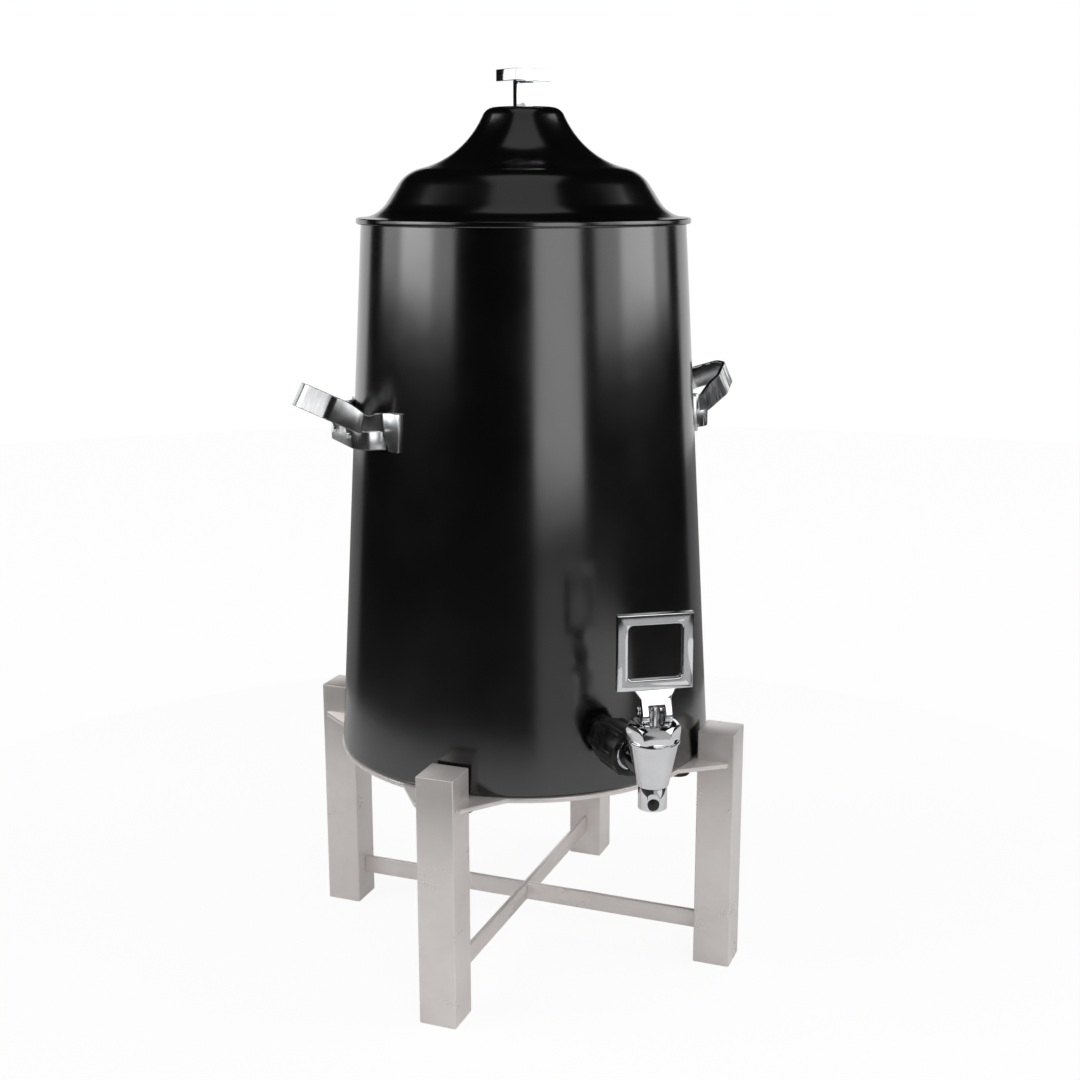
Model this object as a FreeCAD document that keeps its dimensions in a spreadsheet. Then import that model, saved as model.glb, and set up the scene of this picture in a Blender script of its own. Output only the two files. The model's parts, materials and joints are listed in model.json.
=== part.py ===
import FreeCAD, Part
import math
import os

import Sketcher
from FreeCAD import Placement, Rotation, Vector

# Double-wall coffee urn on a four-legged stand, with a lift-off lid, two loop handles and a
# lever tap. Z is up and the floor is at zero. The tap points to -Y, the handles to -X and +X.
# Sub-parts are drawn about the urn's own upright axis, or the tap about its stem, and each
# Placement then carries its sub-part to where that axis stands.

# Driving dimensions, in millimetres and degrees: alias, value, what it is.
SIZES = [
    ("leg_width", 25.4, "square tube of the legs, across the flats"),
    ("leg_wall", 1.6, "wall of the leg tube and thickness of its top cap"),
    ("leg_rise", 167.6, "floor to the top of a leg"),
    ("leg_edge", 1.0, "rounding of the tube's long edges"),
    ("leg_spread", 128.8, "urn axis to the inner face of a leg"),
    ("plug_rise", 12.0, "depth of the plug in the foot of a leg"),
    ("bar_rise", 12.7, "height of a cross bar, a flat bar on edge"),
    ("bar_thick", 3.2, "thickness of a cross bar"),
    ("bar_mid", 26.0, "floor to the middle of a cross bar"),
    ("plate_drop", 19.6, "top of a leg to the top of the stand plate"),
    ("plate_thick", 3.0, "stand plate"),
    ("plate_out", 128.0, "outer radius of the plate's ring"),
    ("plate_in", 100.0, "inner radius of the plate's ring"),
    ("ear_root", 36.0, "half width of an ear where it leaves the ring"),
    ("ear_reach", 150.0, "urn axis to the end of an ear"),
    ("ear_tip", 15.6, "half width of an ear at its end"),
    ("ear_round", 2.2, "rounding of an ear's outer corners"),
    ("stud_pitch", 112.0, "urn axis to a hold-down stud"),
    ("stud_dia", 6.0, "hold-down stud"),
    ("stud_head_dia", 12.0, "welded head of a stud"),
    ("stud_head_rise", 3.0, "height of that head"),
    ("knob_dia", 16.0, "hold-down thumb nut"),
    ("knob_rise", 14.0, "height of the thumb nut"),
    ("shell_base", 127.4, "outer radius of the shell at its foot"),
    ("shell_rim", 106.5, "outer radius of the shell at its rim"),
    ("shell_rise", 351.5, "height of the shell"),
    ("shell_thick", 1.0, "sheet of the shell"),
    ("shell_turn", 24.0, "width of the flange turned in at the shell's foot"),
    ("wall_gap", 7.6, "space between shell and vessel"),
    ("vessel_thick", 0.8, "sheet of the inner vessel"),
    ("vessel_lift", 22.0, "foot of the shell to the underside of the vessel"),
    ("vessel_corner", 4.0, "rounding between the vessel's floor and wall"),
    ("rim_lip", 0.6, "how far the vessel's flange passes the shell's rim"),
    ("pan_rise", 10.0, "upstand of the base pan"),
    ("air_gap", 2.8, "shell to wall insulation"),
    ("lid_sheet", 1.2, "sheet of the lid cover"),
    ("lid_flange", 109.6, "outer radius of the lid's flange"),
    ("lid_flange_rise", 2.6, "vessel flange to the top of the lid's flange"),
    ("lid_hem", 2.0, "width of the folded hem round the flange"),
    ("lid_hem_drop", 1.4, "how far the hem hangs past the vessel's flange"),
    ("cove_start", 107.4, "radius where the cove leaves the flange"),
    ("cove_round", 21.7, "radius of the cove"),
    ("skirt_lean", 57.0, "slope of the lid's short skirt"),
    ("skirt_run", 12.8, "length of the skirt"),
    ("shoulder_round", 25.0, "radius of the shoulder"),
    ("saddle_lean", 13.2, "slope where shoulder meets flare"),
    ("flare_round", 59.0, "radius of the flare"),
    ("crown_lean", 64.0, "slope of the crown's side"),
    ("crown_run", 1.9, "length of the crown's side"),
    ("crown_round", 9.1, "rounding of the crown's edge"),
    ("lid_pan_sheet", 0.8, "sheet of the lid pan"),
    ("lid_pan_depth", 12.0, "how far the pan dips into the vessel"),
    ("lid_pan_gap", 1.3, "pan clear of the vessel's mouth"),
    ("lid_pan_flange", 105.6, "outer radius of the pan's flange"),
    ("gasket_thick", 0.6, "lid gasket"),
    ("gasket_inset", 7.5, "width of the gasket"),
    ("lid_fill_top", 3.0, "vessel flange to the top of the lid's insulation"),
    ("lid_turn", 13.0, "how far the loosely laid lid is turned"),
    ("post_side", 9.4, "square post of the lid's grip"),
    ("post_rise", 16.0, "height of that post"),
    ("post_stud_dia", 8.0, "threaded end of the post through the crown"),
    ("post_stud_drop", 11.0, "length of that end below the crown"),
    ("post_pin_dia", 6.0, "spigot of the post in the grip bar"),
    ("post_pin_rise", 4.0, "length of that spigot"),
    ("grip_long", 28.4, "grip bar, long side"),
    ("grip_wide", 20.9, "grip bar, short side"),
    ("grip_thick", 7.4, "grip bar, thickness"),
    ("lid_nut_wide", 13.0, "nut under the crown, across the flats"),
    ("lid_nut_rise", 6.5, "thickness of that nut"),
    ("lid_washer_dia", 20.0, "washer under the crown"),
    ("lid_washer_thick", 1.2, "thickness of that washer"),
    ("handle_rise", 226.5, "shell's foot to the root of a handle"),
    ("handle_tilt", 26.0, "slope of a handle"),
    ("strap_wide", 15.6, "width of the handle's strap"),
    ("strap_thick", 3.0, "thickness of that strap"),
    ("strap_half", 21.8, "half the width of the loop at its shoulders"),
    ("arm_slant", 20.0, "slant of the loop's arms, which spread towards their feet"),
    ("tip_half", 5.8, "half the width of the loop's blunt tip"),
    ("tip_reach", 46.5, "root of a handle to its tip, along the slope"),
    ("tip_slant", 46.0, "slant of the sides of the tip"),
    ("shoulder_bend", 11.0, "outer bend where the loop's arm turns in"),
    ("tip_bend", 8.0, "outer bend at the tip"),
    ("foot_rise", 24.0, "height of a handle's foot"),
    ("foot_end", 47.7, "middle of the handle to the end of a foot"),
    ("foot_low", 13.5, "root of the handle to the foot's lower edge"),
    ("mount_deep", 14.5, "shell to the face of the handle's bracket"),
    ("mount_half", 27.0, "half the width of the bracket"),
    ("mount_thick", 2.5, "strap of the bracket"),
    ("mount_rise", 16.0, "height of the bracket"),
    ("mount_low", 12.5, "root of the handle to the bracket's lower edge"),
    ("mount_bend", 10.0, "outer bends of the bracket"),
    ("screw_half", 14.0, "middle of the handle to a handle screw"),
    ("screw_dia", 4.0, "handle screw"),
    ("screw_head_dia", 6.4, "head of a handle screw"),
    ("screw_head_rise", 1.8, "height of that head"),
    ("screw_past", 1.5, "handle screw past the inside of the shell"),
    ("tap_reach", 190.0, "urn axis to the tap's stem"),
    ("tap_rise", 38.0, "shell's foot to the middle of the tap's shank"),
    ("shank_dia", 15.9, "shank, five eighths of an inch"),
    ("shank_bore", 9.5, "bore of the shank and the tap's arm"),
    ("shank_in", 12.0, "shank past the inside of the vessel"),
    ("shank_flange", 3.0, "flange at the shank's outer end"),
    ("lock_wide", 22.0, "lock nut inside the vessel, across the flats"),
    ("lock_rise", 6.0, "thickness of the lock nut"),
    ("seal_dia", 22.0, "sealing washer inside the vessel"),
    ("seal_thick", 3.0, "thickness of that washer"),
    ("bush_dia", 24.0, "bush between vessel and shell"),
    ("collar_dia", 22.0, "black collar against the shell"),
    ("collar_end", 136.0, "urn axis to the face of the collar"),
    ("union_end", 164.0, "urn axis to the face of the union nut"),
    ("union_dia", 28.2, "body of the union nut"),
    ("lobe_dia", 5.6, "finger lobe of the union nut"),
    ("joint_at", 157.0, "urn axis to the joint of shank and arm"),
    ("arm_dia", 18.0, "arm of the tap"),
    ("arm_thread_dia", 21.0, "threaded end of the arm and flange of the shank"),
    ("arm_thread_run", 6.0, "length of that threaded end"),
    ("barrel_top", 17.0, "shank's middle to the top of the tap's barrel"),
    ("barrel_foot", 10.0, "shank's middle down to the barrel's lower end"),
    ("barrel_top_dia", 30.2, "barrel at its top"),
    ("barrel_foot_dia", 18.9, "barrel at its lower end"),
    ("barrel_wall", 2.1, "wall of the barrel"),
    ("barrel_bead_dia", 31.6, "bead round the top of the barrel"),
    ("barrel_bead_rise", 1.6, "height of the bead"),
    ("bonnet_thread_dia", 24.8, "threaded spigot of the bonnet"),
    ("bonnet_thread_run", 6.4, "length of that spigot"),
    ("spout_dia", 17.4, "spout sleeve"),
    ("spout_bore", 10.4, "bore of the spout"),
    ("spout_drop", 24.3, "shank's middle down to the tip of the spout"),
    ("spigot_dia", 14.0, "spigot of the spout inside the barrel"),
    ("seat_drop", 5.0, "shank's middle down to the valve's seat"),
    ("button_dia", 7.0, "black plug at the front of the spout"),
    ("button_deep", 2.4, "depth of that plug"),
    ("button_proud", 0.3, "how far the plug stands proud"),
    ("button_rise", 4.6, "tip of the spout to the middle of the plug"),
    ("button_turn", -23.4, "turn of the spout that brings its plug round"),
    ("bonnet_corner", 33.0, "bonnet across its corners"),
    ("bonnet_rise", 11.4, "height of the bonnet"),
    ("bonnet_turn", 10.4, "turn of the bonnet's nearest corner off the front"),
    ("bonnet_crown_dia", 22.0, "flat top of the bonnet"),
    ("bonnet_gap", 0.3, "bonnet clear of the barrel's bead"),
    ("bonnet_roof", 9.0, "thickness of the bonnet's roof"),
    ("spring_room_dia", 15.4, "room for the spring in the bonnet"),
    ("stem_dia", 7.8, "valve stem"),
    ("stem_neck_dia", 6.2, "neck of the stem inside the cup"),
    ("stem_foot_dia", 9.6, "foot of the stem inside the cup"),
    ("stem_foot_rise", 2.4, "height of that foot"),
    ("cup_dia", 14.2, "rubber seat cup"),
    ("cup_rise", 9.6, "height of the seat cup"),
    ("cup_floor", 3.4, "rubber below the stem's foot"),
    ("spring_wire", 1.1, "wire of the valve spring"),
    ("spring_dia", 11.2, "valve spring, middle of the wire"),
    ("spring_turns", 5.0, "turns of the valve spring"),
    ("pin_lift", 6.6, "top of the bonnet to the hinge pin"),
    ("pin_dia", 4.0, "hinge pin"),
    ("pin_long", 20.6, "length of the hinge pin"),
    ("lever_turn", -12.0, "how far the lever is swung round the stem"),
    ("heel_gap", 0.3, "lever's heel clear of the bonnet"),
    ("heel_front", 8.5, "hinge pin to the front of the heel"),
    ("heel_back", 5.5, "hinge pin to the back of the heel"),
    ("heel_round", 2.5, "rounding of the heel's front corner"),
    ("neck_wide", 18.6, "neck of the lever"),
    ("neck_rise", 12.7, "hinge pin to the frame of the lever"),
    ("neck_flare", 25.0, "width of the neck where it meets the frame"),
    ("flare_rise", 4.6, "height of the flare"),
    ("slot_wide", 9.7, "slot for the stem in the neck"),
    ("slot_over", 0.5, "slot clear of the stem's rounded top"),
    ("frame_wide", 46.0, "lever's frame, across and up"),
    ("frame_band", 6.4, "width of the frame's band"),
    ("frame_thick", 4.6, "thickness of the frame"),
    ("window_round", 3.0, "rounding of the window's corners"),
    ("fit_gap", 0.1, "clearance of fixed fits"),
    ("run_gap", 0.1, "clearance of round running fits, each side"),
    ("free_gap", 0.3, "clearance between pieces that move apart"),
]

doc = FreeCAD.newDocument("coffee_urn")
sheet = doc.addObject("Spreadsheet::Sheet", "Sizes")
NODES = {}


def fill_sheet():
    """Write the driving dimensions with their aliases."""
    for row, (alias, size, meaning) in enumerate(SIZES, start=1):
        sheet.set(f"A{row}", alias)
        sheet.set(f"B{row}", str(size))
        sheet.setAlias(f"B{row}", alias)
        sheet.set(f"C{row}", meaning)
    doc.recompute()


def size(alias):
    """Expression for one cell of the sheet."""
    return f"Sizes.{alias}"


def total(*terms):
    """Expression for a sum of terms."""
    return "(" + " + ".join(f"({term})" for term in terms) + ")"


def less(first, *others):
    """Expression for a difference."""
    return "(" + " - ".join(f"({term})" for term in (first, *others)) + ")"


def half(term):
    """Expression for half of a term."""
    return f"(({term}) / 2)"


def minus(term):
    """Expression for a term with its sign changed."""
    return f"(-({term}))"


def number(term):
    """Present value of an expression, for a first placing."""
    return float(sheet.evalExpression(str(term)))


# Levels and radii that several sub-parts share.
PLATE_TOP = less(size("leg_rise"), size("plate_drop"))
PLATE_FOOT = less(PLATE_TOP, size("plate_thick"))
SHELL_TOP = total(PLATE_TOP, size("shell_rise"))
VESSEL_FOOT = total(PLATE_TOP, size("vessel_lift"))
VESSEL_FLOOR = total(VESSEL_FOOT, size("vessel_thick"))
RIM = total(SHELL_TOP, size("vessel_thick"))
PAN_FLOOR = total(PLATE_TOP, size("shell_thick"))
SHANK_MID = total(PLATE_TOP, size("tap_rise"))
HANDLE_ROOT = total(PLATE_TOP, size("handle_rise"))
BARREL_TOP = total(SHANK_MID, size("barrel_top"))
BEAD_TOP = total(BARREL_TOP, size("barrel_bead_rise"))
BONNET_FOOT = total(BEAD_TOP, size("bonnet_gap"))
BONNET_TOP = total(BONNET_FOOT, size("bonnet_rise"))
BONNET_ROOM = less(BONNET_TOP, size("bonnet_roof"))
SEAT = less(SHANK_MID, size("seat_drop"))
CUP_FOOT = total(SEAT, size("free_gap"))
CUP_TOP = total(CUP_FOOT, size("cup_rise"))
PIN_MID = total(BONNET_TOP, size("pin_lift"))
SPOUT_TIP = less(SHANK_MID, size("spout_drop"))

# The tap's front is the nearest corner of the bonnet, and the ring is what reaches back.
FRONT_REACH = total(size("tap_reach"), f"Sizes.bonnet_corner / 2 * cos(Sizes.bonnet_turn)")
URN_Y = half(less(FRONT_REACH, size("plate_out")))
TAP_Y = less(URN_Y, size("tap_reach"))


def shell_radius(level, inset="0"):
    """Radius of the conical shell's outside at a level, less an inset."""
    fall = f"(Sizes.shell_base - Sizes.shell_rim) * (({level}) - {PLATE_TOP}) / Sizes.shell_rise"
    return f"(Sizes.shell_base - {fall} - ({inset}))"


SHELL_IN = size("shell_thick")
VESSEL_OUT = total(size("shell_thick"), size("wall_gap"))
VESSEL_IN = total(VESSEL_OUT, size("vessel_thick"))


def bind(thing, prop, term):
    """Tie a property to an expression."""
    thing.setExpression(prop, str(term))


def place(thing, x="0", y="0", z="0", axis=None, angle=None):
    """Tie an object's place, and its turn about an axis, to expressions."""
    if axis is not None:
        thing.Placement = Placement(Vector(), Rotation(Vector(*axis), number(angle) or 1.0))
        bind(thing, "Placement.Rotation.Angle", angle)
    for letter, term in zip("xyz", (x, y, z)):
        bind(thing, f"Placement.Base.{letter}", term)
    return thing


def cylinder(name, dia, rise, x="0", y="0", z="0", axis=None, angle=None):
    """Round bar along Z before any turn."""
    bar = doc.addObject("Part::Cylinder", name)
    bind(bar, "Radius", half(dia))
    bind(bar, "Height", rise)
    return place(bar, x, y, z, axis, angle)


def block(name, long_x, long_y, long_z, x="0", y="0", z="0"):
    """Box with its corner of least x, y and z at the place given."""
    box = doc.addObject("Part::Box", name)
    for prop, term in (("Length", long_x), ("Width", long_y), ("Height", long_z)):
        bind(box, prop, term)
    return place(box, x, y, z)


def shell_cone(name, inset):
    """Solid cone with the shell's taper, its wall lying an inset inside the shell's outside."""
    cone = doc.addObject("Part::Cone", name)
    bind(cone, "Radius1", shell_radius(PLATE_TOP, inset))
    bind(cone, "Radius2", shell_radius(SHELL_TOP, inset))
    bind(cone, "Height", size("shell_rise"))
    return place(cone, z=PLATE_TOP)


def cut(name, base, *tools):
    """Base with the tools taken away."""
    piece = doc.addObject("Part::Cut", name)
    piece.Base = base
    piece.Tool = tools[0] if len(tools) == 1 else fuse(f"{name}_tools", *tools)
    return piece


def fuse(name, *shapes):
    """Shapes joined into one."""
    piece = doc.addObject("Part::MultiFuse", name)
    piece.Shapes = list(shapes)
    piece.Refine = True
    return piece


def common(name, first, second):
    """What two shapes share."""
    piece = doc.addObject("Part::Common", name)
    piece.Base = first
    piece.Tool = second
    return piece


def group(name, *shapes):
    """Separate solids of one kind, kept as one sub-part."""
    piece = doc.addObject("Part::Compound", name)
    piece.Links = list(shapes)
    return piece


def new_body(name):
    """Empty body for sketched features."""
    return doc.addObject("PartDesign::Body", name)


def sketch(body, role, corners, arcs=None, lift=None):
    """Closed outline through corners, each a pair of expressions.

    arcs maps a side's number to its radius and the way it bends: 1 bends left, -1 right.
    lift raises the sketch along its plane's normal.
    """
    arcs = arcs or {}
    outline = body.newObject("Sketcher::SketchObject", f"{body.Name}_outline")
    plane = next(o for o in body.Origin.OriginFeatures if o.Role == role)
    outline.AttachmentSupport = [(plane, "")]
    outline.MapMode = "FlatFace"
    if lift is not None:
        bind(outline, "AttachmentOffset.Base.z", lift)
    points = [Vector(number(x), number(y), 0) for x, y in corners]
    count = len(points)
    ends = []
    for side in range(count):
        start = points[side]
        finish = points[(side + 1) % count]
        if side in arcs:
            radius, bend = number(arcs[side][0]), arcs[side][1]
            first, last = (start, finish) if bend > 0 else (finish, start)
            chord = last - first
            sag = (radius ** 2 - (chord.Length / 2) ** 2) ** 0.5
            centre = (first + last) / 2 + Vector(-chord.y, chord.x, 0).normalize() * sag
            sweep = [math.atan2(end.y - centre.y, end.x - centre.x) for end in (first, last)]
            circle = Part.Circle(centre, Vector(0, 0, 1), radius)
            index = outline.addGeometry(Part.ArcOfCircle(circle, *sweep))
            ends.append((index, 1, 2) if bend > 0 else (index, 2, 1))
        else:
            index = outline.addGeometry(Part.LineSegment(start, finish))
            ends.append((index, 1, 2))
    for side in range(count):
        this, following = ends[side], ends[(side + 1) % count]
        outline.addConstraint(
            Sketcher.Constraint("Coincident", this[0], this[2], following[0], following[1]))
    for side, (x, y) in enumerate(corners):
        geometry, vertex = ends[side][0], ends[side][1]
        for kind, term in (("DistanceX", x), ("DistanceY", y)):
            rule = outline.addConstraint(
                Sketcher.Constraint(kind, -1, 1, geometry, vertex, number(term)))
            label = f"{kind[-1].lower()}_{side}"
            outline.renameConstraint(rule, label)
            bind(outline, f"Constraints.{label}", term)
    for side, (radius, _) in arcs.items():
        rule = outline.addConstraint(
            Sketcher.Constraint("Radius", ends[side][0], number(radius)))
        outline.renameConstraint(rule, f"radius_{side}")
        bind(outline, f"Constraints.radius_{side}", radius)
    return outline


def circle_sketch(body, dia, x="0", y="0", lift=None):
    """Circle on the body's XY plane."""
    outline = body.newObject("Sketcher::SketchObject", f"{body.Name}_circle")
    plane = next(o for o in body.Origin.OriginFeatures if o.Role == "XY_Plane")
    outline.AttachmentSupport = [(plane, "")]
    outline.MapMode = "FlatFace"
    if lift is not None:
        bind(outline, "AttachmentOffset.Base.z", lift)
    centre = Vector(number(x), number(y), 0)
    ring = outline.addGeometry(Part.Circle(centre, Vector(0, 0, 1), number(half(dia))))
    for kind, term in (("DistanceX", x), ("DistanceY", y)):
        rule = outline.addConstraint(Sketcher.Constraint(kind, -1, 1, ring, 3, number(term)))
        outline.renameConstraint(rule, f"centre_{kind[-1].lower()}")
        bind(outline, f"Constraints.centre_{kind[-1].lower()}", term)
    rule = outline.addConstraint(Sketcher.Constraint("Radius", ring, number(half(dia))))
    outline.renameConstraint(rule, "radius")
    bind(outline, "Constraints.radius", half(dia))
    return outline


def revolve(body, corners, arcs=None):
    """Full turn about Z of an outline given as radius and level."""
    feature = body.newObject("PartDesign::Revolution", f"{body.Name}_turned")
    outline = sketch(body, "XZ_Plane", corners, arcs)
    feature.Profile = outline
    feature.ReferenceAxis = (outline, ["V_Axis"])
    feature.Angle = 360
    body.Tip = feature
    doc.recompute()
    return feature


def pad(body, outline, length, both_ways=False):
    """Outline raised along its normal."""
    feature = body.newObject("PartDesign::Pad", f"{body.Name}_pad")
    feature.Profile = outline
    bind(feature, "Length", length)
    feature.Midplane = both_ways
    body.Tip = feature
    doc.recompute()
    return feature


def pocket(body, outline, length, upward=True, both_ways=False):
    """Outline cut away, upward from its plane or both ways."""
    before = body.Shape.Volume
    feature = body.newObject("PartDesign::Pocket", f"{body.Name}_pocket")
    feature.Profile = outline
    bind(feature, "Length", length)
    feature.Midplane = both_ways
    feature.Reversed = upward
    body.Tip = feature
    doc.recompute()
    if not body.Shape.Volume < before:
        raise RuntimeError(f"{feature.Name} cuts nothing")
    return feature


def around(body, feature, copies):
    """Polar pattern of a feature about Z."""
    pattern = body.newObject("PartDesign::PolarPattern", f"{feature.Name}_round")
    pattern.Originals = [feature]
    axis = next(o for o in body.Origin.OriginFeatures if o.Role == "Z_Axis")
    pattern.Axis = (axis, [""])
    pattern.Angle = 360
    pattern.Occurrences = copies
    body.Tip = pattern
    doc.recompute()
    return pattern


def round_edges(body, radius, wanted):
    """Fillet the edges of the body's last feature that the test picks."""
    last = body.Tip
    names = [f"Edge{i}" for i, edge in enumerate(last.Shape.Edges, start=1) if wanted(edge)]
    if not names:
        raise RuntimeError(f"{body.Name}: no edge to round")
    feature = body.newObject("PartDesign::Fillet", f"{body.Name}_fillet")
    feature.Base = (last, names)
    bind(feature, "Radius", radius)
    body.Tip = feature
    doc.recompute()
    return feature


def upright(edge):
    """Whether an edge is straight and parallel to Z."""
    if edge.Curve.TypeId != "Part::GeomLine":
        return False
    return abs(edge.Curve.Direction.z) > 0.999


def node(thing, label, y=URN_Y, x="0", z="0", turn=None):
    """Carry a finished sub-part to its place and keep it under its label."""
    thing.Label = label
    place(thing, x, y, z, (0, 0, 1) if turn is not None else None, turn)
    NODES[label] = thing
    return thing


def bar_along_y(name, dia, first, last, level, x="0"):
    """Round bar along Y between two places."""
    bar = cylinder(name, dia, less(last, first), x=x, y=first, z=level)
    bar.Placement.Rotation = Rotation(Vector(-1, 0, 0), 90)
    return bar


# Stand

QUARTERS = {"front_right": -45.0, "rear_right": 45.0, "rear_left": 135.0, "front_left": 225.0}


def make_leg(corner, turn):
    """Square tube, capped at the top, turned so that its flats face the urn."""
    body = new_body(f"tube_{corner}")
    near = size("leg_spread")
    far = total(near, size("leg_width"))
    side = half(size("leg_width"))
    square = [(near, minus(side)), (far, minus(side)), (far, side), (near, side)]
    pad(body, sketch(body, "XY_Plane", square), size("leg_rise"))
    round_edges(body, size("leg_edge"), upright)
    wall = size("leg_wall")
    near_in, far_in, side_in = total(near, wall), less(far, wall), less(side, wall)
    room = [(near_in, minus(side_in)), (far_in, minus(side_in)), (far_in, side_in),
            (near_in, side_in)]
    pocket(body, sketch(body, "XY_Plane", room), less(size("leg_rise"), wall))
    return node(body, f"leg_{corner}", turn=str(turn))


def make_foot_plug(corner, turn):
    """Plastic plug that closes the foot of a leg."""
    body = new_body(f"plug_{corner}")
    side = less(half(size("leg_width")), size("leg_wall"), size("fit_gap"))
    middle = total(size("leg_spread"), half(size("leg_width")))
    near, far = less(middle, side), total(middle, side)
    pad(body, sketch(body, "XY_Plane", [(near, minus(side)), (far, minus(side)), (far, side),
                                        (near, side)]), size("plug_rise"))
    hollow = less(side, size("leg_wall"))
    near, far = less(middle, hollow), total(middle, hollow)
    room = sketch(body, "XY_Plane", [(near, minus(hollow)), (far, minus(hollow)), (far, hollow),
                                     (near, hollow)], lift=size("bar_thick"))
    pocket(body, room, size("plug_rise"))
    return node(body, f"foot_plug_{corner}", turn=str(turn))


def make_cross_bar(label, turn, slot_on_top):
    """Flat bar on edge between two opposite legs, half lapped with the other one."""
    long = f"(2 * {size('leg_spread')})"
    foot = less(size("bar_mid"), half(size("bar_rise")))
    bar = block(f"{label}_bar", long, size("bar_thick"), size("bar_rise"),
                x=minus(size("leg_spread")), y=minus(half(size("bar_thick"))), z=foot)
    slot = total(size("bar_thick"), size("fit_gap"))
    level = size("bar_mid") if slot_on_top else foot
    notch = block(f"{label}_notch", slot, total(size("bar_thick"), "2"), half(size("bar_rise")),
                  x=minus(half(slot)), y=minus(half(total(size("bar_thick"), "2"))), z=level)
    return node(cut(f"{label}_piece", bar, notch), label, turn=str(turn))


def make_stand_plate():
    """Ring with four ears that reach round the legs."""
    body = new_body("plate")
    pad(body, circle_sketch(body, f"(2 * {size('plate_out')})", lift=PLATE_FOOT),
        size("plate_thick"))
    root = f"sqrt(Sizes.plate_out ^ 2 - Sizes.ear_root ^ 2)"
    inner = half(total(size("plate_in"), size("plate_out")))
    wide, tip, reach = size("ear_root"), size("ear_tip"), size("ear_reach")
    ear = [(inner, minus(wide)), (root, minus(wide)), (reach, minus(tip)), (reach, tip),
           (root, wide), (inner, wide)]
    raised = pad(body, sketch(body, "XY_Plane", ear, lift=PLATE_FOOT), size("plate_thick"))
    around(body, raised, 4)
    reach_now = number(reach)
    round_edges(body, size("ear_round"),
                lambda e: upright(e) and abs(max(
                    e.Vertexes[0].Point.x, -e.Vertexes[0].Point.x,
                    e.Vertexes[0].Point.y, -e.Vertexes[0].Point.y) - reach_now) < 0.01)
    side = half(size("leg_width"))
    past = total(reach, "5")
    slot = [(size("leg_spread"), minus(side)), (past, minus(side)), (past, side),
            (size("leg_spread"), side)]
    notch = pocket(body, sketch(body, "XY_Plane", slot, lift=PLATE_FOOT), size("plate_thick"))
    around(body, notch, 4)
    pocket(body, circle_sketch(body, f"(2 * {size('plate_in')})", lift=PLATE_FOOT),
           size("plate_thick"))
    hole = pocket(body, circle_sketch(body, total(size("stud_dia"), f"2 * {size('free_gap')}"),
                                      x=size("stud_pitch"), lift=PLATE_FOOT),
                  size("plate_thick"))
    around(body, hole, 4)
    return node(body, "stand_plate", turn="45")


def make_hold_down_nuts():
    """Four black thumb nuts under the plate's ears."""
    nuts = []
    for corner, turn in QUARTERS.items():
        knob = cylinder(f"knob_{corner}", size("knob_dia"), size("knob_rise"),
                        x=f"{size('stud_pitch')} * cos({turn})",
                        y=f"{size('stud_pitch')} * sin({turn})",
                        z=less(PLATE_FOOT, size("knob_rise")))
        hole = cylinder(f"knob_bore_{corner}", total(size("stud_dia"), f"2 * {size('fit_gap')}"),
                        less(size("knob_rise"), "3"),
                        x=f"{size('stud_pitch')} * cos({turn})",
                        y=f"{size('stud_pitch')} * sin({turn})",
                        z=less(PLATE_FOOT, size("knob_rise"), "-3"))
        nuts.append(cut(f"thumb_nut_{corner}", knob, hole))
    return node(group("thumb_nuts", *nuts), "hold_down_nuts")


# Urn body

def stud_holes(name, dia, foot, rise):
    """Four upright cylinders on the pitch of the studs."""
    return [cylinder(f"{name}_{corner}", dia, rise,
                     x=f"{size('stud_pitch')} * cos({turn})",
                     y=f"{size('stud_pitch')} * sin({turn})", z=foot)
            for corner, turn in QUARTERS.items()]


def handle_screw_bars(name, dia, first, last):
    """Four round bars along X at the handle screws, between two distances from the axis."""
    level = total(HANDLE_ROOT, less(half(size("mount_rise")), size("mount_low")))
    bars = []
    for side in (1, -1):
        for way in (1, -1):
            start = first if side > 0 else minus(last)
            bar = cylinder(f"{name}_{len(bars)}", dia, less(last, first), x=start,
                           y=f"({way} * {size('screw_half')})", z=level)
            bar.Placement.Rotation = Rotation(Vector(0, 1, 0), 90)
            bars.append(bar)
    return bars


def make_outer_shell():
    """Conical black shell with a flange turned in at its foot."""
    body = new_body("shell")
    sheet_in = size("shell_thick")
    foot_in = total(PLATE_TOP, sheet_in)
    lip = less(size("shell_base"), size("shell_turn"))
    revolve(body, [
        (lip, PLATE_TOP), (size("shell_base"), PLATE_TOP), (size("shell_rim"), SHELL_TOP),
        (less(size("shell_rim"), sheet_in), SHELL_TOP), (shell_radius(foot_in, sheet_in), foot_in),
        (lip, foot_in)])
    shank = bar_along_y("shell_tap_hole", total(size("shank_dia"), size("fit_gap")),
                        minus(size("collar_end")), "0", SHANK_MID)
    screws = handle_screw_bars("shell_screw_hole", total(size("screw_dia"), size("fit_gap")),
                               less(shell_radius(HANDLE_ROOT), size("mount_rise")), mount_face())
    studs = stud_holes("shell_stud_hole", total(size("stud_dia"), size("fit_gap")),
                       less(PLATE_TOP, "1"), total(size("shell_thick"), "2"))
    return node(cut("shell_piece", body, shank, *screws, *studs), "outer_shell")


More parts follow.
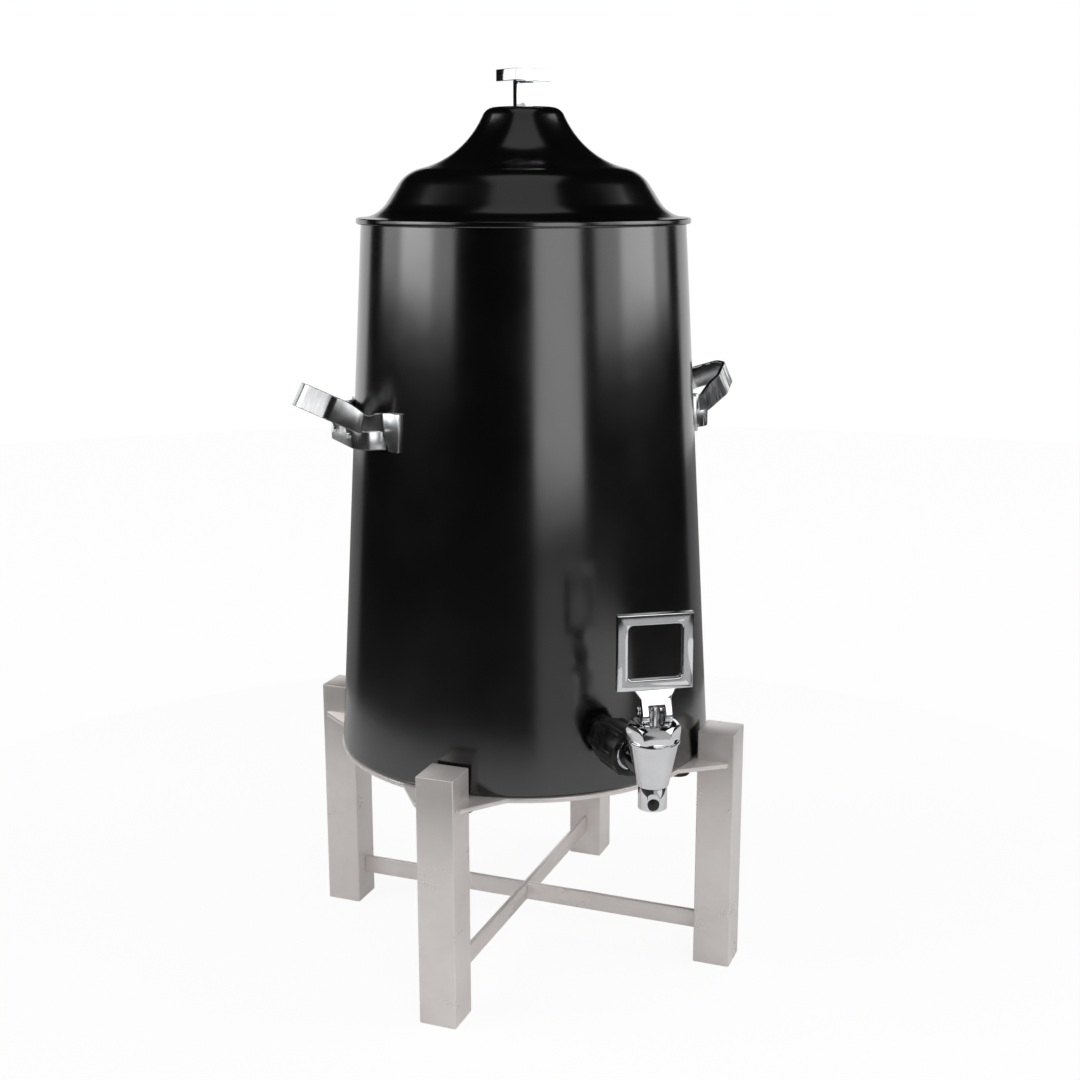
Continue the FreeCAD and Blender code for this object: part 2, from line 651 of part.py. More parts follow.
def make_base_pan():
    """Pan that closes the foot of the shell and carries the studs."""
    body = new_body("pan")
    top = total(PAN_FLOOR, size("pan_rise"))
    rim = shell_radius(top, total(SHELL_IN, size("fit_gap")))
    floor = total(PAN_FLOOR, size("shell_thick"))
    revolve(body, [
        ("0", PAN_FLOOR), (rim, PAN_FLOOR), (rim, top), (less(rim, size("shell_thick")), top),
        (less(rim, size("shell_thick")), floor), ("0", floor)])
    holes = stud_holes("pan_stud_hole", total(size("stud_dia"), size("fit_gap")),
                       less(PAN_FLOOR, "1"), total(size("shell_thick"), "2"))
    return node(cut("pan_piece", body, *holes), "base_pan")


def make_base_studs():
    """Four welded studs that hold the urn to its stand."""
    studs = []
    floor = total(PAN_FLOOR, size("shell_thick"))
    low = less(PLATE_FOOT, size("knob_rise"), "-3.5")
    for corner, turn in QUARTERS.items():
        at = {"x": f"{size('stud_pitch')} * cos({turn})", "y": f"{size('stud_pitch')} * sin({turn})"}
        head = cylinder(f"stud_head_{corner}", size("stud_head_dia"), size("stud_head_rise"),
                        z=floor, **at)
        rod = cylinder(f"stud_rod_{corner}", size("stud_dia"), less(floor, low), z=low, **at)
        studs.append(fuse(f"stud_{corner}", head, rod))
    return node(group("studs", *studs), "base_studs")


def make_base_insulation():
    """Foam disc between the base pan and the vessel."""
    foot = total(PAN_FLOOR, size("shell_thick"), size("fit_gap"))
    rise = less(VESSEL_FOOT, foot, size("fit_gap"))
    radius = shell_radius(VESSEL_FOOT, total(SHELL_IN, size("air_gap")))
    disc = cylinder("base_foam", f"(2 * {radius})", rise, z=foot)
    pockets = stud_holes("base_foam_pocket", total(size("stud_head_dia"), size("free_gap")),
                         less(foot, "1"), total(size("stud_head_rise"), "1.2"))
    return node(cut("base_foam_piece", disc, *pockets), "base_insulation")


def make_wall_insulation():
    """Foam sleeve round the vessel."""
    body = new_body("sleeve")
    foot = total(VESSEL_FOOT, size("fit_gap"))
    top = less(SHELL_TOP, size("fit_gap"))
    inner = less(VESSEL_OUT, size("fit_gap"))
    outer = total(SHELL_IN, size("air_gap"))
    revolve(body, [(shell_radius(foot, inner), foot), (shell_radius(foot, outer), foot),
                   (shell_radius(top, outer), top), (shell_radius(top, inner), top)])
    hole = bar_along_y("sleeve_tap_hole", total(size("bush_dia"), size("free_gap")),
                       minus(size("collar_end")), "0", SHANK_MID)
    return node(cut("sleeve_piece", body, hole), "wall_insulation")


def make_inner_vessel():
    """Steel vessel that holds the coffee, with the flange that covers the shell's rim."""
    body = new_body("vessel")
    lip = total(size("shell_rim"), size("rim_lip"))
    revolve(body, [
        ("0", VESSEL_FOOT), (shell_radius(VESSEL_FOOT, VESSEL_OUT), VESSEL_FOOT),
        (shell_radius(SHELL_TOP, VESSEL_OUT), SHELL_TOP), (lip, SHELL_TOP), (lip, RIM),
        (shell_radius(RIM, VESSEL_IN), RIM), (shell_radius(VESSEL_FLOOR, VESSEL_IN), VESSEL_FLOOR),
        ("0", VESSEL_FLOOR)])
    foot, floor = number(VESSEL_FOOT), number(VESSEL_FLOOR)

    def corner(level):
        return lambda e: (e.Curve.TypeId == "Part::GeomCircle" and e.Curve.Radius > 1
                          and abs(e.Curve.Center.z - level) < 0.01)

    round_edges(body, total(size("vessel_corner"), size("vessel_thick")), corner(foot))
    round_edges(body, size("vessel_corner"), corner(floor))
    hole = bar_along_y("vessel_tap_hole", total(size("shank_dia"), size("fit_gap")),
                       minus(size("collar_end")), "0", SHANK_MID)
    return node(cut("vessel_piece", body, hole), "inner_vessel")


# Lid

def turn_step(point, radius, lean_from, lean_to, left):
    """End of an arc that starts at a point and turns between two slopes.

    A slope is the angle above the level, on a path that climbs towards the axis.
    """
    across = f"(sin({lean_from}) - sin({lean_to}))"
    up = f"(cos({lean_to}) - cos({lean_from}))"
    sign = "" if left else "-"
    x = f"({point[0]} - ({sign}({radius}) * {across}))"
    y = f"({point[1]} + ({sign}({radius}) * {up}))"
    return x, y


def straight_step(point, run, lean):
    """End of a straight run at a slope towards the axis."""
    return f"({point[0]} - {run} * cos({lean}))", f"({point[1]} + {run} * sin({lean}))"


def lid_path(inset):
    """Corners and arcs of the lid's curve from flange to crown, an inset inside its outside."""
    out = total(size("cove_round"), inset)
    shoulder = less(size("shoulder_round"), inset)
    flare = total(size("flare_round"), inset)
    crown = less(size("crown_round"), inset)
    start = (size("cove_start"), total(RIM, less(size("lid_flange_rise"), inset)))
    skirt_foot = turn_step(start, out, "0", size("skirt_lean"), False)
    skirt_top = straight_step(skirt_foot, size("skirt_run"), size("skirt_lean"))
    saddle = turn_step(skirt_top, shoulder, size("skirt_lean"), size("saddle_lean"), True)
    crown_foot = turn_step(saddle, flare, size("saddle_lean"), size("crown_lean"), False)
    crown_side = straight_step(crown_foot, size("crown_run"), size("crown_lean"))
    crown_top = turn_step(crown_side, crown, size("crown_lean"), "0", True)
    points = [start, skirt_foot, skirt_top, saddle, crown_foot, crown_side, crown_top]
    return points, {0: out, 2: shoulder, 3: flare, 5: crown}


OUTSIDE, OUTSIDE_ARCS = lid_path("0")
INSIDE, INSIDE_ARCS = lid_path(size("lid_sheet"))
CROWN_TOP = OUTSIDE[-1][1]
CROWN_UNDER = INSIDE[-1][1]


def make_lid_cover():
    """Spun black cover: flange, cove, shoulder, flare and crown."""
    body = new_body("cover")
    edge = size("lid_flange")
    hem = less(edge, size("lid_hem"))
    low = less(RIM, size("lid_hem_drop"))
    under = INSIDE[0][1]
    corners = [(hem, low), (edge, low), (edge, OUTSIDE[0][1])]
    arcs = {}
    bends = {0: -1, 2: 1, 3: -1, 5: 1}
    first = len(corners)
    corners += OUTSIDE
    for side, radius in OUTSIDE_ARCS.items():
        arcs[first + side] = (radius, bends[side])
    corners += [("0", CROWN_TOP), ("0", CROWN_UNDER)]
    back = len(corners)
    corners += INSIDE[::-1]
    last = len(INSIDE) - 2
    for side, radius in INSIDE_ARCS.items():
        arcs[back + last - side] = (radius, -bends[side])
    corners.append((hem, under))
    revolve(body, corners, arcs)
    hole = cylinder("cover_hole", total(size("post_stud_dia"), size("fit_gap")),
                    total(size("lid_sheet"), "2"), z=less(CROWN_UNDER, "1"))
    return node(cut("cover_piece", body, hole), "lid_cover")


MOUTH = shell_radius(RIM, VESSEL_IN)
PAN_OUT = less(MOUTH, size("lid_pan_gap"))
GASKET_TOP = total(RIM, size("gasket_thick"))


def make_lid_pan():
    """Steel pan that dips into the vessel's mouth."""
    body = new_body("dip")
    skin = size("lid_pan_sheet")
    foot = less(RIM, size("lid_pan_depth"))
    top = total(GASKET_TOP, skin)
    revolve(body, [
        ("0", foot), (PAN_OUT, foot), (PAN_OUT, GASKET_TOP), (size("lid_pan_flange"), GASKET_TOP),
        (size("lid_pan_flange"), top), (less(PAN_OUT, skin), top),
        (less(PAN_OUT, skin), total(foot, skin)), ("0", total(foot, skin))])
    return node(body, "lid_pan")


def make_lid_gasket():
    """Silicone ring between the pan's flange and the vessel's."""
    outer = size("lid_pan_flange")
    disc = cylinder("gasket_disc", f"(2 * {outer})", size("gasket_thick"), z=RIM)
    hole = cylinder("gasket_hole", f"(2 * {less(outer, size('gasket_inset'))})",
                    total(size("gasket_thick"), "2"), z=less(RIM, "1"))
    return node(cut("gasket_piece", disc, hole), "lid_gasket")


def make_lid_insulation():
    """Foam disc in the lid pan."""
    foot = total(less(RIM, size("lid_pan_depth")), size("lid_pan_sheet"), size("fit_gap"))
    radius = less(PAN_OUT, size("lid_pan_sheet"), size("free_gap"))
    disc = cylinder("lid_foam", f"(2 * {radius})",
                    less(total(RIM, size("lid_fill_top")), foot), z=foot)
    return node(disc, "lid_insulation", z=foot)


def make_lid_post():
    """Square post of the grip, with a threaded end through the crown."""
    side = size("post_side")
    bar = block("post_bar", side, side, size("post_rise"), x=minus(half(side)),
                y=minus(half(side)), z=CROWN_TOP)
    stud = cylinder("post_stud", size("post_stud_dia"), total(size("post_stud_drop"), "1"),
                    z=less(CROWN_TOP, size("post_stud_drop")))
    pin = cylinder("post_pin", size("post_pin_dia"), total(size("post_pin_rise"), "1"),
                   z=less(total(CROWN_TOP, size("post_rise")), "1"))
    return node(fuse("post_piece", bar, stud, pin), "lid_post", turn=size("lid_turn"))


def make_lid_grip():
    """Flat bar on top of the post."""
    body = new_body("grip")
    foot = total(CROWN_TOP, size("post_rise"))
    long, wide = half(size("grip_long")), half(size("grip_wide"))
    pad(body, sketch(body, "XY_Plane", [(minus(long), minus(wide)), (long, minus(wide)),
                                        (long, wide), (minus(long), wide)], lift=foot),
        size("grip_thick"))
    pocket(body, circle_sketch(body, total(size("post_pin_dia"), size("fit_gap")), lift=foot),
           total(size("post_pin_rise"), size("fit_gap")))
    return node(body, "lid_grip_bar", turn=size("lid_turn"))


def hexagon(name, across, rise, z="0"):
    """Six-sided prism, given its size across the flats."""
    prism = doc.addObject("Part::Prism", name)
    prism.Polygon = 6
    bind(prism, "Circumradius", f"(({across}) / 2 / cos(30))")
    bind(prism, "Height", rise)
    return place(prism, z=z)


def make_lid_nut():
    """Washer and nut that hold the post under the crown."""
    bore = total(size("post_stud_dia"), size("fit_gap"))
    washer_foot = less(CROWN_UNDER, size("lid_washer_thick"))
    washer = cut("lid_washer_piece",
                 cylinder("lid_washer_disc", size("lid_washer_dia"), size("lid_washer_thick"),
                          z=washer_foot),
                 cylinder("lid_washer_bore", bore, total(size("lid_washer_thick"), "2"),
                          z=less(washer_foot, "1")))
    nut_foot = less(washer_foot, size("lid_nut_rise"))
    nut = cut("lid_nut_piece", hexagon("lid_nut_prism", size("lid_nut_wide"),
                                       size("lid_nut_rise"), z=nut_foot),
              cylinder("lid_nut_bore", bore, total(size("lid_nut_rise"), "2"),
                       z=less(nut_foot, "1")))
    return node(group("lid_nut_and_washer", washer, nut), "lid_nut")


# Handles

def strap_outline(inset):
    """Half loop drawn along its slope: root, shoulder, tip and back, an inset inside."""
    bend = f"(1 + cos(Sizes.tip_slant - Sizes.arm_slant))"
    past = f"((sin(Sizes.arm_slant) + sin(Sizes.tip_slant)) / {bend})"
    aside = f"((cos(Sizes.arm_slant) + cos(Sizes.tip_slant)) / {bend})"
    outer = less(size("tip_reach"),
                 f"((Sizes.strap_half - Sizes.tip_half) / tan(Sizes.tip_slant))")
    shoulder = less(outer, f"({inset}) * {past}")
    arm = less(size("strap_half"), f"({inset}) * {aside}")
    tip = less(size("tip_reach"), inset)
    blunt = less(size("tip_half"), f"({inset}) * tan((90 - Sizes.tip_slant) / 2)")
    root = minus(size("strap_wide"))
    spread = total(arm, f"({less(shoulder, root)}) * tan(Sizes.arm_slant)")
    return [(root, minus(spread)), (shoulder, minus(arm)), (tip, minus(blunt)), (tip, blunt),
            (shoulder, arm), (root, spread)]


def bent_pad(body, outline_at, bends, length, make):
    """Pad or pocket of a strap outline with its bends rounded."""
    make(body, sketch(body, "XY_Plane", outline_at), length, both_ways=True)
    for place_x, radius in bends:
        level = number(place_x)
        round_edges(body, radius, lambda e: upright(e)
                    and abs(e.Vertexes[0].Point.x - level) < 0.01)


def make_handle_loop(side, turn):
    """Chromed strap bent to a loop, with feet that lie on the shell."""
    outer, inner = strap_outline("0"), strap_outline(size("strap_thick"))
    solid = new_body(f"loop_{side}")
    bent_pad(solid, outer, [(outer[1][0], size("shoulder_bend")), (outer[2][0], size("tip_bend"))],
             size("strap_wide"), pad)
    core = new_body(f"loop_core_{side}")
    thick = size("strap_thick")
    bent_pad(core, inner, [(inner[1][0], less(size("shoulder_bend"), thick)),
                           (inner[2][0], less(size("tip_bend"), thick))],
             total(size("strap_wide"), "2"), pad)
    root = shell_radius(HANDLE_ROOT)
    for body in (solid, core):
        place(body, x=root, z=HANDLE_ROOT, axis=(0, -1, 0), angle=size("handle_tilt"))
    strap = cut(f"strap_{side}", solid, core)
    foot_level = less(HANDLE_ROOT, size("foot_low"))
    inner_edge = less(outer[-1][1], thick, "Sizes.strap_wide * tan(Sizes.arm_slant)")
    feet = []
    for start in (inner_edge, minus(size("foot_end"))):
        plate = block(f"foot_{side}_{len(feet)}", total(size("strap_wide"), size("strap_half")),
                      less(size("foot_end"), inner_edge), size("foot_rise"),
                      x=less(root, size("strap_wide")), y=start, z=foot_level)
        feet.append(common(f"foot_on_shell_{side}_{len(feet)}", plate,
                           shell_cone(f"foot_face_{side}_{len(feet)}", minus(thick))))
    whole = fuse(f"loop_and_feet_{side}", strap, *feet)
    seat = shell_cone(f"loop_seat_{side}", minus(size("fit_gap")))
    return node(cut(f"loop_piece_{side}", whole, seat), f"handle_loop_{side}", turn=str(turn))


def mount_face():
    """Distance from the urn's axis to the face of a handle's bracket."""
    return total(shell_radius(HANDLE_ROOT), size("mount_deep"))


def make_handle_bracket(side, turn):
    """Bent strap between the arms of a loop, screwed to the shell."""
    low = less(HANDLE_ROOT, size("mount_low"))
    wide, skin = size("mount_half"), size("mount_thick")
    reach = mount_face()
    near = less(shell_radius(HANDLE_ROOT), size("mount_rise"))
    body = new_body(f"bracket_{side}")
    pad(body, sketch(body, "XY_Plane", [(near, minus(wide)), (reach, minus(wide)), (reach, wide),
                                        (near, wide)], lift=low), size("mount_rise"))
    face = number(reach)
    round_edges(body, size("mount_bend"),
                lambda e: upright(e) and abs(e.Vertexes[0].Point.x - face) < 0.01)
    back = less(reach, skin)
    core = new_body(f"bracket_core_{side}")
    inner = less(wide, skin)
    past = less(near, "1")
    pad(core, sketch(core, "XY_Plane", [(past, minus(inner)), (back, minus(inner)), (back, inner),
                                        (past, inner)], lift=low), size("mount_rise"))
    back_now = number(back)
    round_edges(core, less(size("mount_bend"), skin),
                lambda e: upright(e) and abs(e.Vertexes[0].Point.x - back_now) < 0.01)
    seat = shell_cone(f"bracket_seat_{side}", minus(size("fit_gap")))
    screws = handle_screw_bars(f"bracket_hole_{side}", total(size("screw_dia"), size("fit_gap")),
                               less(near, size("mount_rise")), total(reach, size("mount_rise")))
    return node(cut(f"bracket_piece_{side}", body, core, seat, *screws[:2]),
                f"handle_bracket_{side}", turn=str(turn))


def make_handle_screws():
    """Four long screws from the brackets' faces into the shell."""
    inside = less(shell_radius(HANDLE_ROOT, SHELL_IN), size("screw_past"))
    reach = mount_face()
    rods = handle_screw_bars("screw_rod", size("screw_dia"), inside, total(reach, "1"))
    heads = handle_screw_bars("screw_head", size("screw_head_dia"), reach,
                              total(reach, size("screw_head_rise")))
    screws = [fuse(f"handle_screw_{i}", rod, head) for i, (rod, head) in
              enumerate(zip(rods, heads))]
    return node(group("screws_of_handles", *screws), "handle_screws")


# Tap

def make_shank():
    """Threaded tube that carries the tap through both walls."""
    inner_end = less(shell_radius(SHANK_MID, VESSEL_IN), size("shank_in"))
    joint = size("joint_at")
    tube = bar_along_y("shank_tube", size("shank_dia"), minus(joint), minus(inner_end), SHANK_MID)
    flange = bar_along_y("shank_flange_ring", size("arm_thread_dia"), minus(joint),
                         minus(less(joint, size("shank_flange"))), SHANK_MID)
    bore = bar_along_y("shank_bore_hole", size("shank_bore"), minus(total(joint, "1")),
                       minus(less(inner_end, "1")), SHANK_MID)
    return node(cut("shank_piece", fuse("shank_body", tube, flange), bore), "tap_shank")


def shank_ring(name, dia, first, last):
    """Ring on the shank between two distances from the urn's axis."""
    ring = bar_along_y(f"{name}_ring", dia, minus(last), minus(first), SHANK_MID)
    bore = bar_along_y(f"{name}_bore", total(size("shank_dia"), f"2 * {size('fit_gap')}"),
                       minus(total(last, "1")), minus(less(first, "1")), SHANK_MID)
    return ring, bore


def make_tap_collar():
    """Black collar that beds on the curved shell."""
    first = less(shell_radius(SHANK_MID), size("seal_dia"))
    ring, bore = shank_ring("collar", size("collar_dia"), first, size("collar_end"))
    seat = shell_cone("collar_seat", minus(size("fit_gap")))
    return node(cut("collar_piece", ring, bore, seat), "tap_collar")


def make_shank_bush():
    """Steel bush that keeps vessel and shell apart round the shank."""
    first = less(shell_radius(SHANK_MID, VESSEL_IN), size("seal_dia"))
    ring, bore = shank_ring("bush", size("bush_dia"), first, size("collar_end"))
    inside = shell_cone("bush_inside", total(SHELL_IN, size("fit_gap")))
    vessel = shell_cone("bush_vessel", less(VESSEL_OUT, size("fit_gap")))
    return node(cut("bush_piece", common("bush_ring_in_shell", ring, inside), bore, vessel),
                "shank_bush")


def make_inner_seal():
    """Silicone washer between the vessel's wall and the lock nut."""
    last = shell_radius(SHANK_MID, VESSEL_OUT)
    first = less(shell_radius(SHANK_MID, VESSEL_IN), size("seal_thick"))
    ring, bore = shank_ring("seal", size("seal_dia"), first, last)
    wall = shell_cone("seal_wall", total(VESSEL_IN, size("fit_gap")))
    return node(cut("seal_piece", common("seal_ring_in_vessel", ring, wall), bore), "inner_seal")


def make_lock_nut():
    """Hexagon nut on the shank inside the vessel."""
    last = less(shell_radius(SHANK_MID, VESSEL_IN), size("seal_thick"))
    prism = hexagon("lock_prism", size("lock_wide"), size("lock_rise"), z=SHANK_MID)
    bind(prism, "Placement.Base.y", minus(last))
    prism.Placement.Rotation = Rotation(Vector(-1, 0, 0), 90)
    bore = bar_along_y("lock_bore", total(size("shank_dia"), f"2 * {size('fit_gap')}"),
                       minus(total(last, "1")), "0", SHANK_MID)
    return node(cut("lock_piece", prism, bore), "lock_nut")


def make_union_nut():
    """Black finger nut that joins the tap's arm to the shank."""
    first, last = total(size("collar_end"), size("fit_gap")), size("union_end")
    core = bar_along_y("union_core", size("union_dia"), minus(last), minus(first), SHANK_MID)
    lobes = []
    pitch = less(half(size("union_dia")), half(size("lobe_dia")), "-1.2")
    for index in range(6):
        lobe = bar_along_y(f"union_lobe_{index}", size("lobe_dia"), minus(less(last, "3")),
                           minus(first), total(SHANK_MID, f"{pitch} * sin({60 * index})"),
                           x=f"({pitch} * cos({60 * index}))")
        lobes.append(lobe)
    body = fuse("union_body", core, *lobes)
    small = bar_along_y("union_small_bore", total(size("shank_dia"), f"2 * {size('fit_gap')}"),
                        minus(total(last, "1")), minus(less(first, "1")), SHANK_MID)
    step = less(size("joint_at"), size("shank_flange"), size("fit_gap"))
    large = bar_along_y("union_large_bore", total(size("arm_thread_dia"), f"2 * {size('fit_gap')}"),
                        minus(total(last, "1")), minus(step), SHANK_MID)
    return node(cut("union_piece", body, small, large), "union_nut")


def make_tap_body():
    """Chromed barrel with the arm that meets the shank."""
    wall = size("barrel_wall")
    foot = less(SHANK_MID, size("barrel_foot"))
    top_r, foot_r = half(size("barrel_top_dia")), half(size("barrel_foot_dia"))
    bead = half(size("barrel_bead_dia"))
    outside = new_body("barrel")
    revolve(outside, [("0", foot), (foot_r, foot), (top_r, BARREL_TOP), (bead, BARREL_TOP),
                      (bead, BEAD_TOP), ("0", BEAD_TOP)])
    thread = total(half(size("bonnet_thread_dia")), size("fit_gap"))
    ledge = less(BEAD_TOP, size("bonnet_thread_run"), size("fit_gap"))

    def bore_at(level):
        grow = f"(({top_r} - {foot_r}) * (({level}) - {foot}) / ({BARREL_TOP} - {foot}))"
        return f"({foot_r} + {grow} - {wall})"

    spigot = total(half(size("spigot_dia")), size("fit_gap"))
    inside = new_body("barrel_room")
    revolve(inside, [("0", less(foot, "1")), (spigot, less(foot, "1")), (spigot, SEAT),
                     (bore_at(SEAT), SEAT), (bore_at(ledge), ledge), (thread, ledge),
                     (thread, total(BEAD_TOP, "1")), ("0", total(BEAD_TOP, "1"))])
    joint = less(size("tap_reach"), size("joint_at"))
    arm = bar_along_y("arm_bar", size("arm_dia"), "0", less(joint, "1"), SHANK_MID)
    thread_end = bar_along_y("arm_thread", size("arm_thread_dia"),
                             less(joint, size("arm_thread_run")), joint, SHANK_MID)
    bore = bar_along_y("arm_bore", size("shank_bore"), "0", total(joint, "1"), SHANK_MID)
    return node(cut("barrel_piece", fuse("barrel_and_arm", outside, arm, thread_end),
                    inside, bore), "tap_body", y=TAP_Y)


def make_spout():
    """Spout sleeve pushed into the barrel; its upper end is the valve's seat."""
    body = new_body("spout")
    foot = less(SHANK_MID, size("barrel_foot"))
    outer, bore = half(size("spout_dia")), half(size("spout_bore"))
    spigot = half(size("spigot_dia"))
    revolve(body, [(bore, SPOUT_TIP), (outer, SPOUT_TIP), (outer, foot), (spigot, foot),
                   (spigot, SEAT), (bore, SEAT)])
    hole = bar_along_y("spout_button_hole", total(size("button_dia"), size("fit_gap")),
                       minus(total(outer, "1")), minus(less(outer, size("button_deep"))),
                       total(SPOUT_TIP, size("button_rise")))
    return node(cut("spout_piece", body, hole), "spout_sleeve", y=TAP_Y,
                turn=size("button_turn"))


def make_spout_button():
    """Black plug at the front of the spout."""
    outer = half(size("spout_dia"))
    level = total(SPOUT_TIP, size("button_rise"))
    plug = bar_along_y("button_bar", size("button_dia"), minus(total(outer, "2")),
                       minus(less(outer, size("button_deep"), minus(size("fit_gap")))), level)
    face = cylinder("button_face", f"(2 * {total(outer, size('button_proud'))})",
                    f"(2 * {size('button_dia')})", z=less(level, size("button_dia")))
    return node(common("button_piece", plug, face), "spout_button", y=TAP_Y,
                turn=size("button_turn"))


def make_bonnet():
    """Hexagon bonnet with a rounded crown; the stem runs in it."""
    across = f"({size('bonnet_corner')} * cos(30))"
    prism = hexagon("bonnet_prism", across, size("bonnet_rise"), z=BONNET_FOOT)
    corner = half(size("bonnet_corner"))
    crown = half(size("bonnet_crown_dia"))
    edge = total(BONNET_FOOT, f"0.45 * {size('bonnet_rise')}")
    dome = new_body("bonnet_dome")
    lean = f"(({corner} - {crown}) ^ 2 + ({BONNET_TOP} - {edge}) ^ 2)"
    revolve(dome, [("0", BONNET_FOOT), (less(corner, "0.8"), BONNET_FOOT), (corner, edge),
                   (crown, BONNET_TOP), ("0", BONNET_TOP)],
            {2: (f"({lean} / 2 / ({corner} - {crown}))", 1)})
    prism.Placement.Rotation = Rotation(Vector(0, 0, 1), 30)
    cap = common("bonnet_cap", prism, dome)
    thread = cylinder("bonnet_thread", size("bonnet_thread_dia"),
                      total(size("bonnet_thread_run"), size("bonnet_gap"), "1"),
                      z=less(BEAD_TOP, size("bonnet_thread_run")))
    bore = cylinder("bonnet_bore", total(size("stem_dia"), f"2 * {size('run_gap')}"),
                    total(size("bonnet_rise"), size("bonnet_thread_run"), "4"),
                    z=less(BEAD_TOP, size("bonnet_thread_run"), "1"))
    room = cylinder("bonnet_room", size("spring_room_dia"),
                    less(BONNET_ROOM, less(BEAD_TOP, size("bonnet_thread_run"), "1")),
                    z=less(BEAD_TOP, size("bonnet_thread_run"), "1"))
    return node(cut("bonnet_piece", fuse("bonnet_solid", cap, thread), bore, room),
                "tap_bonnet", y=TAP_Y, turn=size("bonnet_turn"))


FOOT_LEVEL = total(CUP_FOOT, size("cup_floor"), size("free_gap"))
FOOT_TOP = total(FOOT_LEVEL, size("stem_foot_rise"))


def make_seat_cup():
    """Silicone cup that the spring holds down on the seat."""
    body = new_body("cup")
    outer = half(size("cup_dia"))
    lip = half(size("spout_bore"))
    gap = size("free_gap")
    foot_room = total(half(size("stem_foot_dia")), gap)
    neck_room = total(half(size("stem_neck_dia")), gap)
    revolve(body, [
        ("0", CUP_FOOT), (total(lip, "1"), CUP_FOOT), (outer, total(CUP_FOOT, "1.5")),
        (outer, CUP_TOP), (neck_room, CUP_TOP), (neck_room, total(FOOT_TOP, gap)),
        (foot_room, total(FOOT_TOP, gap)), (foot_room, less(FOOT_LEVEL, gap)),
        ("0", less(FOOT_LEVEL, gap))])
    return node(body, "seat_cup", y=TAP_Y)


def make_valve_stem():
    """Stem from the seat cup up through the bonnet to the hinge pin."""
    body = new_body("stem")
    shaft, neck = half(size("stem_dia")), half(size("stem_neck_dia"))
    foot = half(size("stem_foot_dia"))
    shoulder = total(CUP_TOP, size("free_gap"))
    revolve(body, [
        ("0", FOOT_LEVEL), (foot, FOOT_LEVEL), (foot, FOOT_TOP), (neck, FOOT_TOP),
        (neck, shoulder), (shaft, shoulder), (shaft, PIN_MID), ("0", total(PIN_MID, shaft))],
        {6: (shaft, 1)})
    hole = cylinder("stem_pin_hole", total(size("pin_dia"), size("fit_gap")),
                    total(size("stem_dia"), "2"), x=minus(half(total(size("stem_dia"), "2"))),
                    z=PIN_MID)
    hole.Placement.Rotation = Rotation(Vector(0, 1, 0), 90)
    return node(cut("stem_piece", body, hole), "valve_stem", y=TAP_Y, turn=size("lever_turn"))


def make_hinge_pin():
    """Riveted pin through the lever's neck and the stem."""
    end = half(size("pin_long"))
    head = less(end, total(half(size("neck_wide")), size("run_gap")))
    bars = [cylinder("pin_bar", size("pin_dia"), size("pin_long"), x=minus(end), z=PIN_MID)]
    for name, start in (("pin_head_left", minus(end)), ("pin_head_right", less(end, head))):
        bars.append(cylinder(name, total(size("pin_dia"), "1.2"), head, x=start, z=PIN_MID))
    for bar in bars:
        bar.Placement.Rotation = Rotation(Vector(0, 1, 0), 90)
    return node(fuse("pin_piece", *bars), "hinge_pin", y=TAP_Y, turn=size("lever_turn"))


def make_valve_spring():
    """Coil spring between the seat cup and the bonnet."""
    wire = size("spring_wire")
    foot = total(CUP_TOP, half(wire), size("fit_gap"))
    top = less(BONNET_ROOM, half(wire), size("fit_gap"))
    coil = doc.addObject("Part::Helix", "spring_coil")
    bind(coil, "Pitch", f"(({less(top, foot)}) / {size('spring_turns')})")
    bind(coil, "Height", less(top, foot))
    bind(coil, "Radius", half(size("spring_dia")))
    section = doc.addObject("Part::Circle", "spring_section")
    bind(section, "Radius", half(wire))
    section.Placement = Placement(Vector(), Rotation(Vector(1, 0, 0), 90))
    bind(section, "Placement.Base.x", half(size("spring_dia")))
    doc.recompute()
    swept = doc.addObject("Part::Sweep", "spring_wire_sweep")
    swept.Sections = [section]
    swept.Spine = (coil, [f"Edge{i + 1}" for i in range(len(coil.Shape.Edges))])
    swept.Solid = True
    swept.Frenet = True
    return node(swept, "valve_spring", y=TAP_Y, z=foot)


